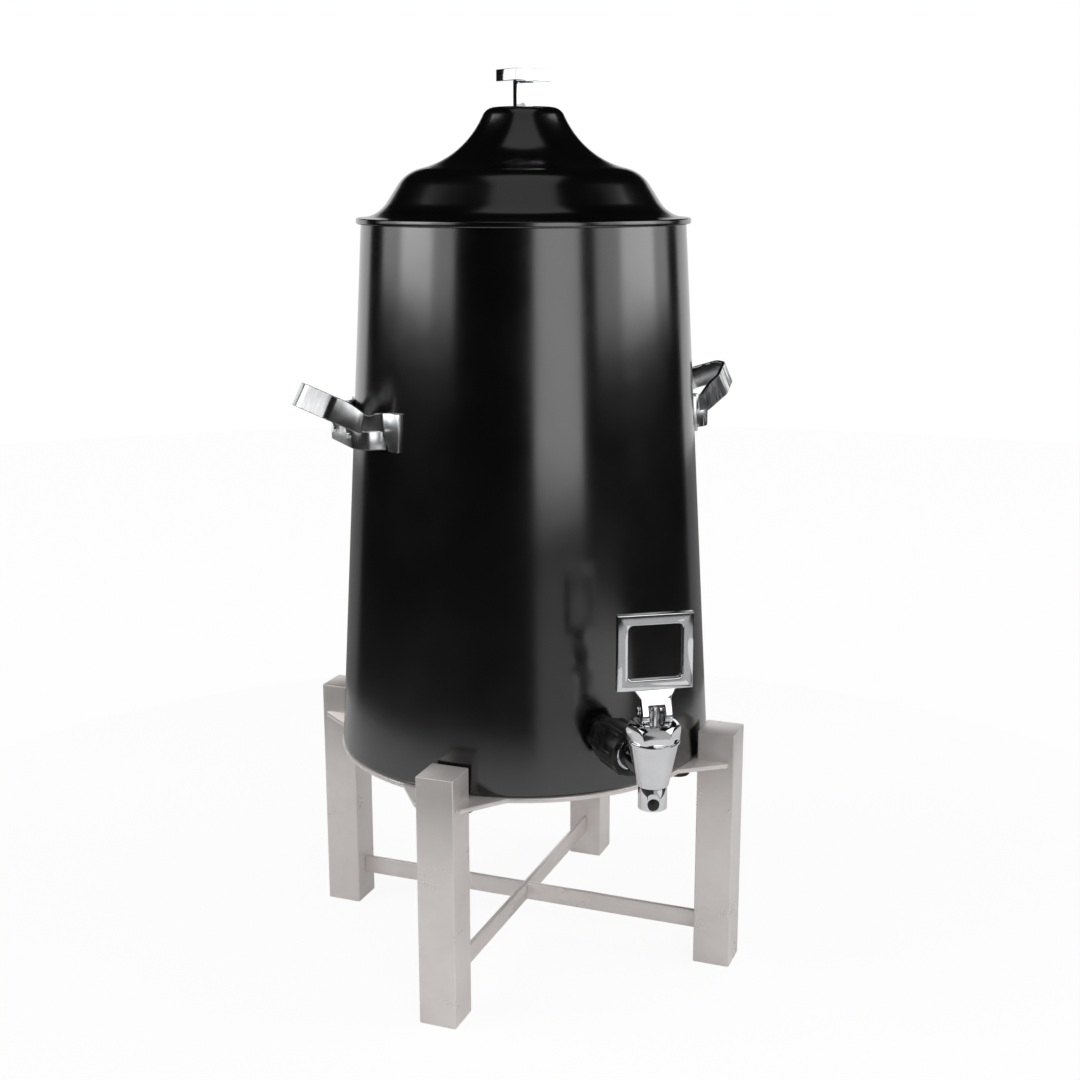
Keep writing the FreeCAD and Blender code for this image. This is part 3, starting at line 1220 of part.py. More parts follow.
def make_lever():
    """Chromed lever: square frame, flared neck and forked heel."""
    neck, flare = half(size("neck_wide")), half(size("neck_flare"))
    foot = total(BONNET_TOP, size("heel_gap"))
    frame_foot = total(PIN_MID, size("neck_rise"))
    flare_foot = less(frame_foot, size("flare_rise"))
    band_mid = total(frame_foot, half(size("frame_band")))
    front = new_body("neck_front")
    pad(front, sketch(front, "XZ_Plane", [
        (minus(neck), foot), (neck, foot), (neck, flare_foot), (flare, frame_foot),
        (flare, band_mid), (minus(flare), band_mid), (minus(flare), frame_foot),
        (minus(neck), flare_foot)]), size("neck_flare"), both_ways=True)
    half_thick = half(size("frame_thick"))
    side = new_body("neck_side")
    toe, back = minus(size("heel_front")), size("heel_back")
    rounding = size("heel_round")
    pad(side, sketch(side, "YZ_Plane", [
        (total(toe, rounding), foot), (back, foot), (back, PIN_MID),
        (half_thick, frame_foot), (half_thick, band_mid), (minus(half_thick), band_mid),
        (minus(half_thick), frame_foot), (toe, PIN_MID), (toe, total(foot, rounding))],
        {8: (rounding, 1)}), size("neck_flare"), both_ways=True)
    shank = common("neck_shape", front, side)
    slot = block("neck_slot", size("slot_wide"), "60",
                 less(total(PIN_MID, half(size("stem_dia")), size("slot_over")), foot, "-1"),
                 x=minus(half(size("slot_wide"))), y="-30", z=less(foot, "1"))
    hole = cylinder("neck_pin_hole", total(size("pin_dia"), f"2 * {size('run_gap')}"),
                    size("neck_flare"), x=minus(flare), z=PIN_MID)
    hole.Placement.Rotation = Rotation(Vector(0, 1, 0), 90)
    frame = new_body("lever_frame")
    wide = half(size("frame_wide"))
    top = total(frame_foot, size("frame_wide"))
    pad(frame, sketch(frame, "XZ_Plane", [(minus(wide), frame_foot), (wide, frame_foot),
                                          (wide, top), (minus(wide), top)]),
        size("frame_thick"), both_ways=True)
    window = less(wide, size("frame_band"))
    low, high = total(frame_foot, size("frame_band")), less(top, size("frame_band"))
    pocket(frame, sketch(frame, "XZ_Plane", [(minus(window), low), (window, low), (window, high),
                                             (minus(window), high)]),
           total(size("frame_thick"), "2"), both_ways=True)
    window_now = number(window)
    round_edges(frame, size("window_round"),
                lambda e: e.Curve.TypeId == "Part::GeomLine" and abs(e.Curve.Direction.y) > 0.999
                and abs(abs(e.Vertexes[0].Point.x) - window_now) < 0.01)
    whole = fuse("lever_solid", shank, frame)
    return node(cut("lever_piece", whole, slot, hole), "tap_lever", y=TAP_Y,
                turn=size("lever_turn"))


def build():
    """Make every sub-part."""
    fill_sheet()
    for corner, turn in QUARTERS.items():
        make_leg(corner, turn)
        make_foot_plug(corner, turn)
    make_cross_bar("cross_bar_upper", 45.0, False)
    make_cross_bar("cross_bar_lower", -45.0, True)
    make_stand_plate()
    make_hold_down_nuts()
    make_outer_shell()
    make_base_pan()
    make_base_studs()
    make_base_insulation()
    make_wall_insulation()
    make_inner_vessel()
    make_lid_cover()
    make_lid_pan()
    make_lid_gasket()
    make_lid_insulation()
    make_lid_post()
    make_lid_grip()
    make_lid_nut()
    for side, turn in (("right", 0.0), ("left", 180.0)):
        make_handle_loop(side, turn)
        make_handle_bracket(side, turn)
    make_handle_screws()
    make_shank()
    make_tap_collar()
    make_shank_bush()
    make_inner_seal()
    make_lock_nut()
    make_union_nut()
    make_tap_body()
    make_spout()
    make_spout_button()
    make_bonnet()
    make_seat_cup()
    make_valve_stem()
    make_hinge_pin()
    make_valve_spring()
    make_lever()
    doc.recompute()


def check():
    """Stop if any object failed or any sub-part is not a sound solid."""
    for thing in doc.Objects:
        if {"Invalid", "Error"} & set(thing.State):
            raise RuntimeError(f"{thing.Label} is {thing.State}")
    for label, thing in NODES.items():
        shape = thing.Shape
        if shape.isNull() or not shape.isValid() or not shape.Solids:
            raise RuntimeError(f"{label} has no sound shape")


def write():
    """Write each sub-part to its own file."""
    os.makedirs("parts", exist_ok=True)
    for label, thing in NODES.items():
        thing.Shape.exportStep(os.path.join("parts", f"{label}.step"))


build()
check()
write()
box = Part.makeCompound([thing.Shape for thing in NODES.values()]).BoundBox
print(f"{len(NODES)} sub-parts")
print(f"x {box.XMin:.2f} to {box.XMax:.2f}")
print(f"y {box.YMin:.2f} to {box.YMax:.2f}")
print(f"z {box.ZMin:.2f} to {box.ZMax:.2f}")
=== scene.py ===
"""Looks of a black coffee urn on a steel stand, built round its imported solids."""

import json
import logging
import math
from collections.abc import Callable, Iterable
from dataclasses import dataclass, field
from enum import Enum

import bmesh
import bpy
from mathutils import Matrix, Vector

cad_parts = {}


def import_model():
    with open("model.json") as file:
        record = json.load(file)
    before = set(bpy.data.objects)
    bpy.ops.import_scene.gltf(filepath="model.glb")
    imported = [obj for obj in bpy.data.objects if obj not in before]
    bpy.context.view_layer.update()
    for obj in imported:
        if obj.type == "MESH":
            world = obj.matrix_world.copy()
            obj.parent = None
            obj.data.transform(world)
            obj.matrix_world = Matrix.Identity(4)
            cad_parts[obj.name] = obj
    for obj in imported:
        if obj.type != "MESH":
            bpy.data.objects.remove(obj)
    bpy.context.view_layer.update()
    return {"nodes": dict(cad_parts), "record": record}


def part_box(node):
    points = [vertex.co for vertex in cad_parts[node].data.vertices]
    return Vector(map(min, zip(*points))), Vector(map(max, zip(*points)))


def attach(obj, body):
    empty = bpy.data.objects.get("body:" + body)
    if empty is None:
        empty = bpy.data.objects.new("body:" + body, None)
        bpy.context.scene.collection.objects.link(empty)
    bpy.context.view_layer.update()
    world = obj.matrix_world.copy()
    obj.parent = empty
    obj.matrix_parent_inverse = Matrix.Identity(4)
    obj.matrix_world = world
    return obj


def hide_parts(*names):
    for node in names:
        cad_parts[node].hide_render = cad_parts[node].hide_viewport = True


LOG = logging.getLogger("urn")
MM = 0.001
NOISE_LOW = 0.3
NOISE_HIGH = 0.7


class Body(str, Enum):
    """Bodies that pieces ride on."""

    URN = "urn"
    LID = "lid"
    SEAT = "seat"
    STEM = "stem"
    LEVER = "lever"


class Slot(str, Enum):
    """Material slots of the record."""

    BLACK_COAT = "black_coat"
    CHROME = "chrome"
    STAINLESS = "stainless"
    VESSEL_STEEL = "vessel_steel"
    BLACK_PLASTIC = "black_plastic"
    SILICONE = "silicone"
    INSULATION = "insulation"


# Finishes


class NodeBench:
    """Small helper that adds and wires the nodes of one material."""

    def __init__(self, name: str) -> None:
        """Start a material with a principled shader.

        Args:
            name: name of the material.
        """
        self.material = bpy.data.materials.new(name)
        self.material.use_nodes = True
        self.tree = self.material.node_tree
        self.tree.nodes.clear()
        self.shader = self.tree.nodes.new("ShaderNodeBsdfPrincipled")
        output = self.tree.nodes.new("ShaderNodeOutputMaterial")
        self.tree.links.new(self.shader.outputs["BSDF"], output.inputs["Surface"])
        self.place = self.tree.nodes.new("ShaderNodeTexCoord").outputs["Object"]

    def stretched(self, scale: tuple[float, float, float]) -> bpy.types.NodeSocket:
        """Object coordinates, scaled along each axis.

        Args:
            scale: factor along X, Y and Z.

        Returns:
            The socket that carries them.
        """
        mapping = self.tree.nodes.new("ShaderNodeMapping")
        mapping.inputs["Scale"].default_value = scale
        self.tree.links.new(self.place, mapping.inputs["Vector"])
        return mapping.outputs["Vector"]

    def noise(self, size_mm: float, detail: float = 3.0, rough: float = 0.5,
              at: bpy.types.NodeSocket | None = None) -> bpy.types.NodeSocket:
        """Noise with features of about a given size.

        Args:
            size_mm: size of its features in millimetres.
            detail: octaves of detail.
            rough: strength of the finer octaves.
            at: coordinates, or None for the object's own.

        Returns:
            The socket of its value.
        """
        node = self.tree.nodes.new("ShaderNodeTexNoise")
        node.inputs["Scale"].default_value = 1.0 / (size_mm * MM)
        node.inputs["Detail"].default_value = detail
        node.inputs["Roughness"].default_value = rough
        self.tree.links.new(at or self.place, node.inputs["Vector"])
        return node.outputs["Fac"]

    def between(self, factor: bpy.types.NodeSocket, low: float,
                high: float) -> bpy.types.NodeSocket:
        """Map a noise to a range.

        Args:
            factor: incoming value.
            low: result where the noise is low.
            high: result where the noise is high.

        Returns:
            The socket of the result.
        """
        node = self.tree.nodes.new("ShaderNodeMapRange")
        ends = {"From Min": NOISE_LOW, "From Max": NOISE_HIGH, "To Min": low, "To Max": high}
        for name, value in ends.items():
            node.inputs[name].default_value = value
        self.tree.links.new(factor, node.inputs["Value"])
        return node.outputs["Result"]

    def tint(self, factor: bpy.types.NodeSocket, dark: tuple[float, float, float],
             light: tuple[float, float, float]) -> bpy.types.NodeSocket:
        """Colour between two, led by a factor.

        Args:
            factor: incoming value.
            dark: colour at a low factor.
            light: colour at a high factor.

        Returns:
            The socket of the colour.
        """
        ramp = self.tree.nodes.new("ShaderNodeValToRGB")
        for element, position, colour in zip(ramp.color_ramp.elements, (NOISE_LOW, NOISE_HIGH),
                                             (dark, light)):
            element.position = position
            element.color = (*colour, 1.0)
        self.tree.links.new(factor, ramp.inputs["Fac"])
        return ramp.outputs["Color"]

    def relief(self, height: bpy.types.NodeSocket, depth_mm: float, strength: float,
               under: bpy.types.NodeSocket | None = None) -> bpy.types.NodeSocket:
        """Bump from a height.

        Args:
            height: incoming height.
            depth_mm: depth that one unit of height stands for.
            strength: share of the bump that is used.
            under: normal of a coarser bump, if any.

        Returns:
            The socket of the normal.
        """
        node = self.tree.nodes.new("ShaderNodeBump")
        node.inputs["Strength"].default_value = strength
        node.inputs["Distance"].default_value = depth_mm * MM
        self.tree.links.new(height, node.inputs["Height"])
        if under is not None:
            self.tree.links.new(under, node.inputs["Normal"])
        return node.outputs["Normal"]

    def feed(self, name: str, socket: bpy.types.NodeSocket) -> None:
        """Wire a socket into the shader.

        Args:
            name: input of the shader.
            socket: what feeds it.
        """
        self.tree.links.new(socket, self.shader.inputs[name])

    def set(self, **values: float) -> None:
        """Set plain inputs of the shader.

        Args:
            values: value of each input, its name's spaces written as underscores.
        """
        for name, value in values.items():
            self.shader.inputs[name.replace("_", " ")].default_value = value


@dataclass(frozen=True)
class PowderCoat:
    """Satin black powder coat with a fine orange-peel grain."""

    name: str = "satin_powder_coat"
    dark: tuple[float, float, float] = (0.0008, 0.0008, 0.0009)
    light: tuple[float, float, float] = (0.0016, 0.0016, 0.0018)
    grain_mm: float = 0.9
    ior: float = 2.0
    roughness: tuple[float, float] = (0.15, 0.20)

    def material(self) -> bpy.types.Material:
        """Build the material."""
        bench = NodeBench(self.name)
        cloud = bench.noise(45.0, 4.0)
        grain = bench.noise(self.grain_mm, 2.0)
        bench.feed("Base Color", bench.tint(cloud, self.dark, self.light))
        bench.feed("Roughness", bench.between(cloud, *self.roughness))
        wave = bench.relief(bench.noise(70.0, 1.0), 0.25, 0.25)
        bench.feed("Normal", bench.relief(grain, 0.02, 0.35, wave))
        bench.set(IOR=self.ior)
        return bench.material


@dataclass(frozen=True)
class PolishedChrome:
    """Bright chromed metal, faintly hazed and very slightly wavy."""

    name: str = "polished_chrome"
    dark: tuple[float, float, float] = (0.80, 0.81, 0.83)
    light: tuple[float, float, float] = (0.90, 0.90, 0.92)
    roughness: tuple[float, float] = (0.035, 0.085)

    def material(self) -> bpy.types.Material:
        """Build the material."""
        bench = NodeBench(self.name)
        haze = bench.noise(14.0, 5.0, 0.6)
        bench.feed("Base Color", bench.tint(haze, self.dark, self.light))
        bench.feed("Roughness", bench.between(haze, *self.roughness))
        bench.feed("Normal", bench.relief(bench.noise(9.0, 2.0), 0.05, 0.22))
        bench.set(Metallic=1.0)
        return bench.material


@dataclass(frozen=True)
class BrushedStrap:
    """Chromed strap with faint polishing lines across it."""

    name: str = "brushed_strap"
    dark: tuple[float, float, float] = (0.66, 0.67, 0.68)
    light: tuple[float, float, float] = (0.80, 0.805, 0.815)
    roughness: tuple[float, float] = (0.16, 0.26)

    def material(self) -> bpy.types.Material:
        """Build the material."""
        bench = NodeBench(self.name)
        haze = bench.noise(12.0, 5.0, 0.6)
        lines = bench.noise(1.2, 3.0, 0.6, bench.stretched((0.25, 1.0, 0.08)))
        bench.feed("Base Color", bench.tint(lines, self.dark, self.light))
        bench.feed("Roughness", bench.between(haze, *self.roughness))
        bench.feed("Normal", bench.relief(lines, 0.02, 0.35))
        bench.set(Metallic=1.0)
        return bench.material


@dataclass(frozen=True)
class PolishedStainless:
    """Buffed stainless tube with long, faint polishing lines up its length."""

    name: str = "buffed_stainless"
    dark: tuple[float, float, float] = (0.80, 0.75, 0.73)
    light: tuple[float, float, float] = (0.88, 0.835, 0.815)
    roughness: tuple[float, float] = (0.26, 0.36)

    def material(self) -> bpy.types.Material:
        """Build the material."""
        bench = NodeBench(self.name)
        cloud = bench.noise(26.0, 5.0, 0.6)
        lines = bench.noise(1.3, 2.0, 0.5, bench.stretched((1.0, 1.0, 0.03)))
        bench.feed("Base Color", bench.tint(cloud, self.dark, self.light))
        bench.feed("Roughness", bench.between(cloud, *self.roughness))
        wave = bench.relief(bench.noise(30.0, 2.0), 0.12, 0.25)
        bench.feed("Normal", bench.relief(lines, 0.012, 0.4, wave))
        bench.set(Metallic=0.55)
        return bench.material


@dataclass(frozen=True)
class SatinSheet:
    """Satin steel sheet, drawn and lightly brushed."""

    name: str = "satin_steel_sheet"
    dark: tuple[float, float, float] = (0.50, 0.50, 0.50)
    light: tuple[float, float, float] = (0.66, 0.655, 0.65)
    roughness: tuple[float, float] = (0.24, 0.36)

    def material(self) -> bpy.types.Material:
        """Build the material."""
        bench = NodeBench(self.name)
        cloud = bench.noise(18.0, 4.0)
        lines = bench.noise(1.1, 2.0, 0.5, bench.stretched((0.06, 0.06, 1.0)))
        bench.feed("Base Color", bench.tint(cloud, self.dark, self.light))
        bench.feed("Roughness", bench.between(cloud, *self.roughness))
        bench.feed("Normal", bench.relief(lines, 0.02, 0.4))
        bench.set(Metallic=1.0)
        return bench.material


@dataclass(frozen=True)
class MouldedPlastic:
    """Black moulded plastic with a soft sheen."""

    name: str = "moulded_black_plastic"
    dark: tuple[float, float, float] = (0.006, 0.006, 0.0065)
    light: tuple[float, float, float] = (0.014, 0.014, 0.015)
    roughness: tuple[float, float] = (0.22, 0.34)

    def material(self) -> bpy.types.Material:
        """Build the material."""
        bench = NodeBench(self.name)
        cloud = bench.noise(7.0, 4.0)
        bench.feed("Base Color", bench.tint(cloud, self.dark, self.light))
        bench.feed("Roughness", bench.between(cloud, *self.roughness))
        bench.feed("Normal", bench.relief(bench.noise(0.5, 2.0), 0.01, 0.3))
        return bench.material


@dataclass(frozen=True)
class SiliconeRubber:
    """Pale silicone with a dull skin."""

    name: str = "pale_silicone"
    dark: tuple[float, float, float] = (0.60, 0.58, 0.53)
    light: tuple[float, float, float] = (0.72, 0.70, 0.65)
    roughness: tuple[float, float] = (0.45, 0.6)

    def material(self) -> bpy.types.Material:
        """Build the material."""
        bench = NodeBench(self.name)
        cloud = bench.noise(5.0, 4.0)
        bench.feed("Base Color", bench.tint(cloud, self.dark, self.light))
        bench.feed("Roughness", bench.between(cloud, *self.roughness))
        bench.feed("Normal", bench.relief(bench.noise(0.6, 2.0), 0.02, 0.3))
        bench.set(Subsurface_Weight=0.1, Subsurface_Scale=0.002)
        return bench.material


@dataclass(frozen=True)
class GlassFelt:
    """Felted insulation, matt and fibrous."""

    name: str = "glass_felt"
    dark: tuple[float, float, float] = (0.62, 0.55, 0.36)
    light: tuple[float, float, float] = (0.80, 0.74, 0.55)

    def material(self) -> bpy.types.Material:
        """Build the material."""
        bench = NodeBench(self.name)
        fibres = bench.noise(2.5, 6.0, 0.7)
        bench.feed("Base Color", bench.tint(fibres, self.dark, self.light))
        bench.feed("Normal", bench.relief(fibres, 0.6, 0.7))
        bench.set(Roughness=0.95, Sheen_Weight=0.2)
        return bench.material


class Finishes:
    """The materials, one for each slot of the record."""

    def __init__(self) -> None:
        """Build every material once."""
        self.by_slot: dict[Slot, bpy.types.Material] = {
            Slot.BLACK_COAT: PowderCoat().material(),
            Slot.CHROME: PolishedChrome().material(),
            Slot.STAINLESS: PolishedStainless().material(),
            Slot.VESSEL_STEEL: SatinSheet().material(),
            Slot.BLACK_PLASTIC: MouldedPlastic().material(),
            Slot.SILICONE: SiliconeRubber().material(),
            Slot.INSULATION: GlassFelt().material(),
        }
        self.strap = BrushedStrap().material()

    def brush(self, thing: bpy.types.Object) -> None:
        """Give a chromed strap its polishing lines.

        Args:
            thing: the strap.
        """
        thing.data.materials.clear()
        thing.data.materials.append(self.strap)

    def paint(self, thing: bpy.types.Object, slot: Slot) -> None:
        """Give an object the finish of a slot.

        Args:
            thing: object to paint.
            slot: slot whose finish it takes.
        """
        thing.data.materials.clear()
        thing.data.materials.append(self.by_slot[slot])


# Shaping


def lathe(profile: Iterable[tuple[float, float]], centre: Vector,
          steps: int = 256) -> bmesh.types.BMesh:
    """Spin a closed profile about an upright axis.

    Args:
        profile: radius and level of each corner in millimetres, in order round the section.
        centre: where the axis stands, in metres.
        steps: facets round the axis.

    Returns:
        The closed shape, in metres.
    """
    bm = bmesh.new()
    corners = [bm.verts.new(centre + Vector((r * MM, 0.0, z * MM))) for r, z in profile]
    edges = [bm.edges.new((a, b)) for a, b in zip(corners, corners[1:] + corners[:1])
             if a.co.x - centre.x > 1e-7 or b.co.x - centre.x > 1e-7]
    bmesh.ops.spin(bm, geom=corners + edges, cent=centre, axis=(0, 0, 1), dvec=(0, 0, 0),
                   angle=2 * math.pi, steps=steps, use_merge=True, use_duplicate=False)
    bmesh.ops.remove_doubles(bm, verts=bm.verts, dist=1e-6)
    bmesh.ops.recalc_face_normals(bm, faces=bm.faces)
    return bm


def rounded(corners: list[tuple[float, float, float]], steps: int = 5) -> list[tuple[float, float]]:
    """Round the corners of a flat path.

    Args:
        corners: x, y and radius of each corner; the ends keep their place.
        steps: chords in each rounding.

    Returns:
        The points of the rounded path.
    """
    points: list[tuple[float, float]] = []
    for index, (x, y, radius) in enumerate(corners):
        here = Vector((x, y))
        if radius <= 0 or index in (0, len(corners) - 1):
            points.append((x, y))
            continue
        back = (Vector(corners[index - 1][:2]) - here).normalized()
        ahead = (Vector(corners[index + 1][:2]) - here).normalized()
        half = back.angle(ahead) / 2
        reach = radius / math.tan(half)
        centre = here + (back + ahead).normalized() * (radius / math.sin(half))
        start = here + back * reach - centre
        end = here + ahead * reach - centre
        turn = start.angle(end)
        sign = 1.0 if start.x * end.y - start.y * end.x > 0 else -1.0
        for step in range(steps + 1):
            angle = sign * turn * step / steps
            spoke = Matrix.Rotation(angle, 2) @ start
            points.append(tuple(centre + spoke))
    return points


def eased(value: float) -> float:
    """Smooth step from 0 to 1.

    Args:
        value: where the step is, from 0 to 1 and held at its ends.

    Returns:
        The eased value.
    """
    value = min(1.0, max(0.0, value))
    return value * value * (3 - 2 * value)


def soften(bm: bmesh.types.BMesh, width_mm: float, segments: int = 2, over: float = 30.0) -> None:
    """Round every edge that is sharper than an angle.

    Args:
        bm: shape to change.
        width_mm: width of the rounding.
        segments: facets across it.
        over: least angle of an edge that is rounded, in degrees.
    """
    sharp = [edge for edge in bm.edges
             if len(edge.link_faces) == 2 and edge.calc_face_angle() > math.radians(over)]
    bmesh.ops.bevel(bm, geom=sharp, offset=width_mm * MM, offset_type="OFFSET", affect="EDGES",
                    segments=segments, profile=0.5, material=-1, clamp_overlap=True)


@dataclass
class Workshop:
    """Makes pieces, paints them and sets them on their bodies."""

    nodes: dict[str, bpy.types.Object]
    finishes: Finishes

    def piece(self, name: str, bm: bmesh.types.BMesh, body: Body, slot: Slot,
              stands_for: tuple[str, ...] = (), smooth_deg: float = 35.0) -> bpy.types.Object:
        """Turn a shape into a finished piece.

        Args:
            name: name of the piece.
            bm: its shape, in metres; it is freed here.
            body: body it rides on.
            slot: slot it takes its finish from.
            stands_for: solids that it takes the place of.
            smooth_deg: edges sharper than this stay sharp.

        Returns:
            The new object.
        """
        mesh = bpy.data.meshes.new(name)
        bm.to_mesh(mesh)
        bm.free()
        mesh.shade_smooth()
        mesh.set_sharp_from_angle(angle=math.radians(smooth_deg))
        thing = bpy.data.objects.new(name, mesh)
        bpy.context.scene.collection.objects.link(thing)
        self.finishes.paint(thing, slot)
        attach(thing, body.value)
        if stands_for:
            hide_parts(*stands_for)
        LOG.info("%s: %d faces on %s", name, len(mesh.polygons), body.value)
        return thing

    def copy_of(self, node: str) -> bmesh.types.BMesh:
        """Copy a solid's mesh, joined up and with its flat faces whole.

        Args:
            node: name of the solid.

        Returns:
            The copied shape.
        """
        bm = bmesh.new()
        bm.from_mesh(self.nodes[node].data)
        bmesh.ops.remove_doubles(bm, verts=bm.verts, dist=2e-6)
        bmesh.ops.dissolve_limit(bm, angle_limit=math.radians(0.3), verts=bm.verts,
                                 edges=bm.edges)
        return bm

    def soft_edged(self, node: str, body: Body, slot: Slot, width_mm: float,
                   segments: int = 2) -> bpy.types.Object:
        """Stand in for a solid with a copy whose edges are rounded.

        Args:
            node: name of the solid.
            body: body it rides on.
            slot: slot it takes its finish from.
            width_mm: width of the rounding.
            segments: facets across it.

        Returns:
            The new object.
        """
        bm = self.copy_of(node)
        soften(bm, width_mm, segments)
        return self.piece(f"{node}_finished", bm, body, slot, (node,))


# The object


@dataclass
class Stand:
    """Four capped legs, two lapped bars and the plate that carries the urn."""

    corners: tuple[str, ...] = ("front_left", "front_right", "rear_left", "rear_right")
    leg_rounding: float = 0.7
    plug_rounding: float = 0.4
    bar_rounding: float = 0.4
    plate_rounding: float = 0.6
    nut_rounding: float = 0.8

    def build(self, shop: Workshop) -> None:
        """Build the stand's pieces.

        Args:
            shop: where the pieces are made.
        """
        for corner in self.corners:
            shop.soft_edged(f"leg_{corner}", Body.URN, Slot.STAINLESS, self.leg_rounding, 3)
            shop.soft_edged(f"foot_plug_{corner}", Body.URN, Slot.BLACK_PLASTIC, self.plug_rounding)
        for bar in ("cross_bar_upper", "cross_bar_lower"):
            shop.soft_edged(bar, Body.URN, Slot.STAINLESS, self.bar_rounding)
        shop.soft_edged("stand_plate", Body.URN, Slot.STAINLESS, self.plate_rounding)
        shop.soft_edged("hold_down_nuts", Body.URN, Slot.BLACK_PLASTIC, self.nut_rounding, 3)


@dataclass
class UrnBody:
    """Black conical shell round the steel vessel."""

    axis: Vector
    foot_level: float = 148.0
    rim_level: float = 499.5
    foot_radius: float = 127.4
    rim_radius: float = 106.5
    sheet: float = 1.0
    turn_in: float = 24.0
    foot_rounding: float = 2.4
    spare: float = 0.05

    def profile(self) -> list[tuple[float, float]]:
        """Section of the shell with its turned and rounded foot.

        Returns:
            Radius and level of each corner, in millimetres.
        """
        lip = self.foot_radius - self.turn_in
        outside = rounded([
            (lip, self.foot_level, 0.0),
            (self.foot_radius, self.foot_level, self.foot_rounding),
            (self.rim_radius, self.rim_level, 0.0)], 8)
        inside = rounded([
            (self.rim_radius - self.sheet, self.rim_level, 0.0),
            (self.foot_radius - self.sheet - self.spare, self.foot_level + self.sheet,
             self.foot_rounding - self.sheet),
            (lip, self.foot_level + self.sheet, 0.0)], 6)
        return outside + inside

    def build(self, shop: Workshop) -> None:
        """Build the shell.

        Args:
            shop: where the pieces are made.
        """
        shop.piece("shell_finished", lathe(self.profile(), self.axis), Body.URN,
                   Slot.BLACK_COAT, ("outer_shell",))


@dataclass
class LidDome:
    """Spun lid cover and the bar grip on its square post."""

    axis: Vector
    seat_level: float = 500.3
    flange_radius: float = 109.6
    flange_rise: float = 2.6
    hem: float = 2.0
    hem_drop: float = 1.4
    sheet: float = 1.2
    start_radius: float = 107.4
    cove: float = 21.7
    skirt_lean: float = 57.0
    skirt_run: float = 12.8
    shoulder: float = 25.0
    saddle_lean: float = 13.2
    flare: float = 59.0
    crown_lean: float = 64.0
    crown_run: float = 1.9
    crown: float = 9.1
    hem_inside: float = 0.5
    hem_outside: float = 1.2
    hole_radius: float = 4.05
    post_rounding: float = 0.5
    grip_rounding: float = 0.9
    chords: int = 14

    def path(self, inset: float) -> list[tuple[float, float]]:
        """Curve from flange to crown, an inset inside the outer skin.

        Args:
            inset: distance inside the skin, in millimetres.

        Returns:
            Radius and level of each point.
        """
        here = Vector((self.start_radius, self.seat_level + self.flange_rise - inset))
        points = [tuple(here)]
        bends = (
            (self.cove + inset, 0.0, self.skirt_lean, -1.0),
            (self.skirt_run, self.skirt_lean, None, 0.0),
            (self.shoulder - inset, self.skirt_lean, self.saddle_lean, 1.0),
            (self.flare + inset, self.saddle_lean, self.crown_lean, -1.0),
            (self.crown_run, self.crown_lean, None, 0.0),
            (self.crown - inset, self.crown_lean, 0.0, 1.0),
        )
        for size, lean_from, lean_to, side in bends:
            if lean_to is None:
                lean = math.radians(lean_from)
                here = here + Vector((-math.cos(lean), math.sin(lean))) * size
                points.append(tuple(here))
                continue
            first, last = math.radians(lean_from), math.radians(lean_to)
            centre = here - Vector((math.sin(first), math.cos(first))) * (size * side)
            for step in range(1, self.chords + 1):
                lean = first + (last - first) * step / self.chords
                points.append(tuple(centre + Vector((math.sin(lean), math.cos(lean)))
                                    * (size * side)))
            here = Vector(points[-1])
        return points

    def profile(self) -> list[tuple[float, float]]:
        """Closed section of the cover with its folded hem.

        Returns:
            Radius and level of each corner.
        """
        outside, inside = self.path(0.0), self.path(self.sheet)
        edge, low = self.flange_radius, self.seat_level - self.hem_drop
        top = outside[0][1]
        hem = rounded([
            (edge - self.hem, inside[0][1], 0.0), (edge - self.hem, low, self.hem_inside),
            (edge, low, self.hem_outside), (edge, top, self.hem_outside),
            (self.start_radius, top, 0.0)], 5)
        hole = [(self.hole_radius, outside[-1][1]), (self.hole_radius, inside[-1][1])]
        return hem[:-1] + outside + hole + inside[::-1]

    def build(self, shop: Workshop) -> None:
        """Build the cover, the post and the grip.

        Args:
            shop: where the pieces are made.
        """
        shop.piece("lid_cover_finished", lathe(self.profile(), self.axis), Body.LID,
                   Slot.BLACK_COAT, ("lid_cover",))
        shop.soft_edged("lid_post", Body.LID, Slot.CHROME, self.post_rounding, 3)
        shop.soft_edged("lid_grip_bar", Body.LID, Slot.CHROME, self.grip_rounding, 4)


@dataclass
class StrapStation:
    """One section of the handle's strap."""

    centre: Vector
    across: Vector
    through: Vector
    width: float
    thick: float

    def matrix(self) -> Matrix:
        """Place of the section, with its size along its first two axes.

        Returns:
            The matrix, in metres.
        """
        along = self.through.cross(self.across).normalized()
        columns = (self.through * self.thick * MM, self.across * self.width * MM, along * MM)
        matrix = Matrix.Identity(4)
        for column, vector in enumerate(columns):
            for row in range(3):
                matrix[row][column] = vector[row]
        for row in range(3):
            matrix[row][3] = self.centre[row] * MM
        return matrix


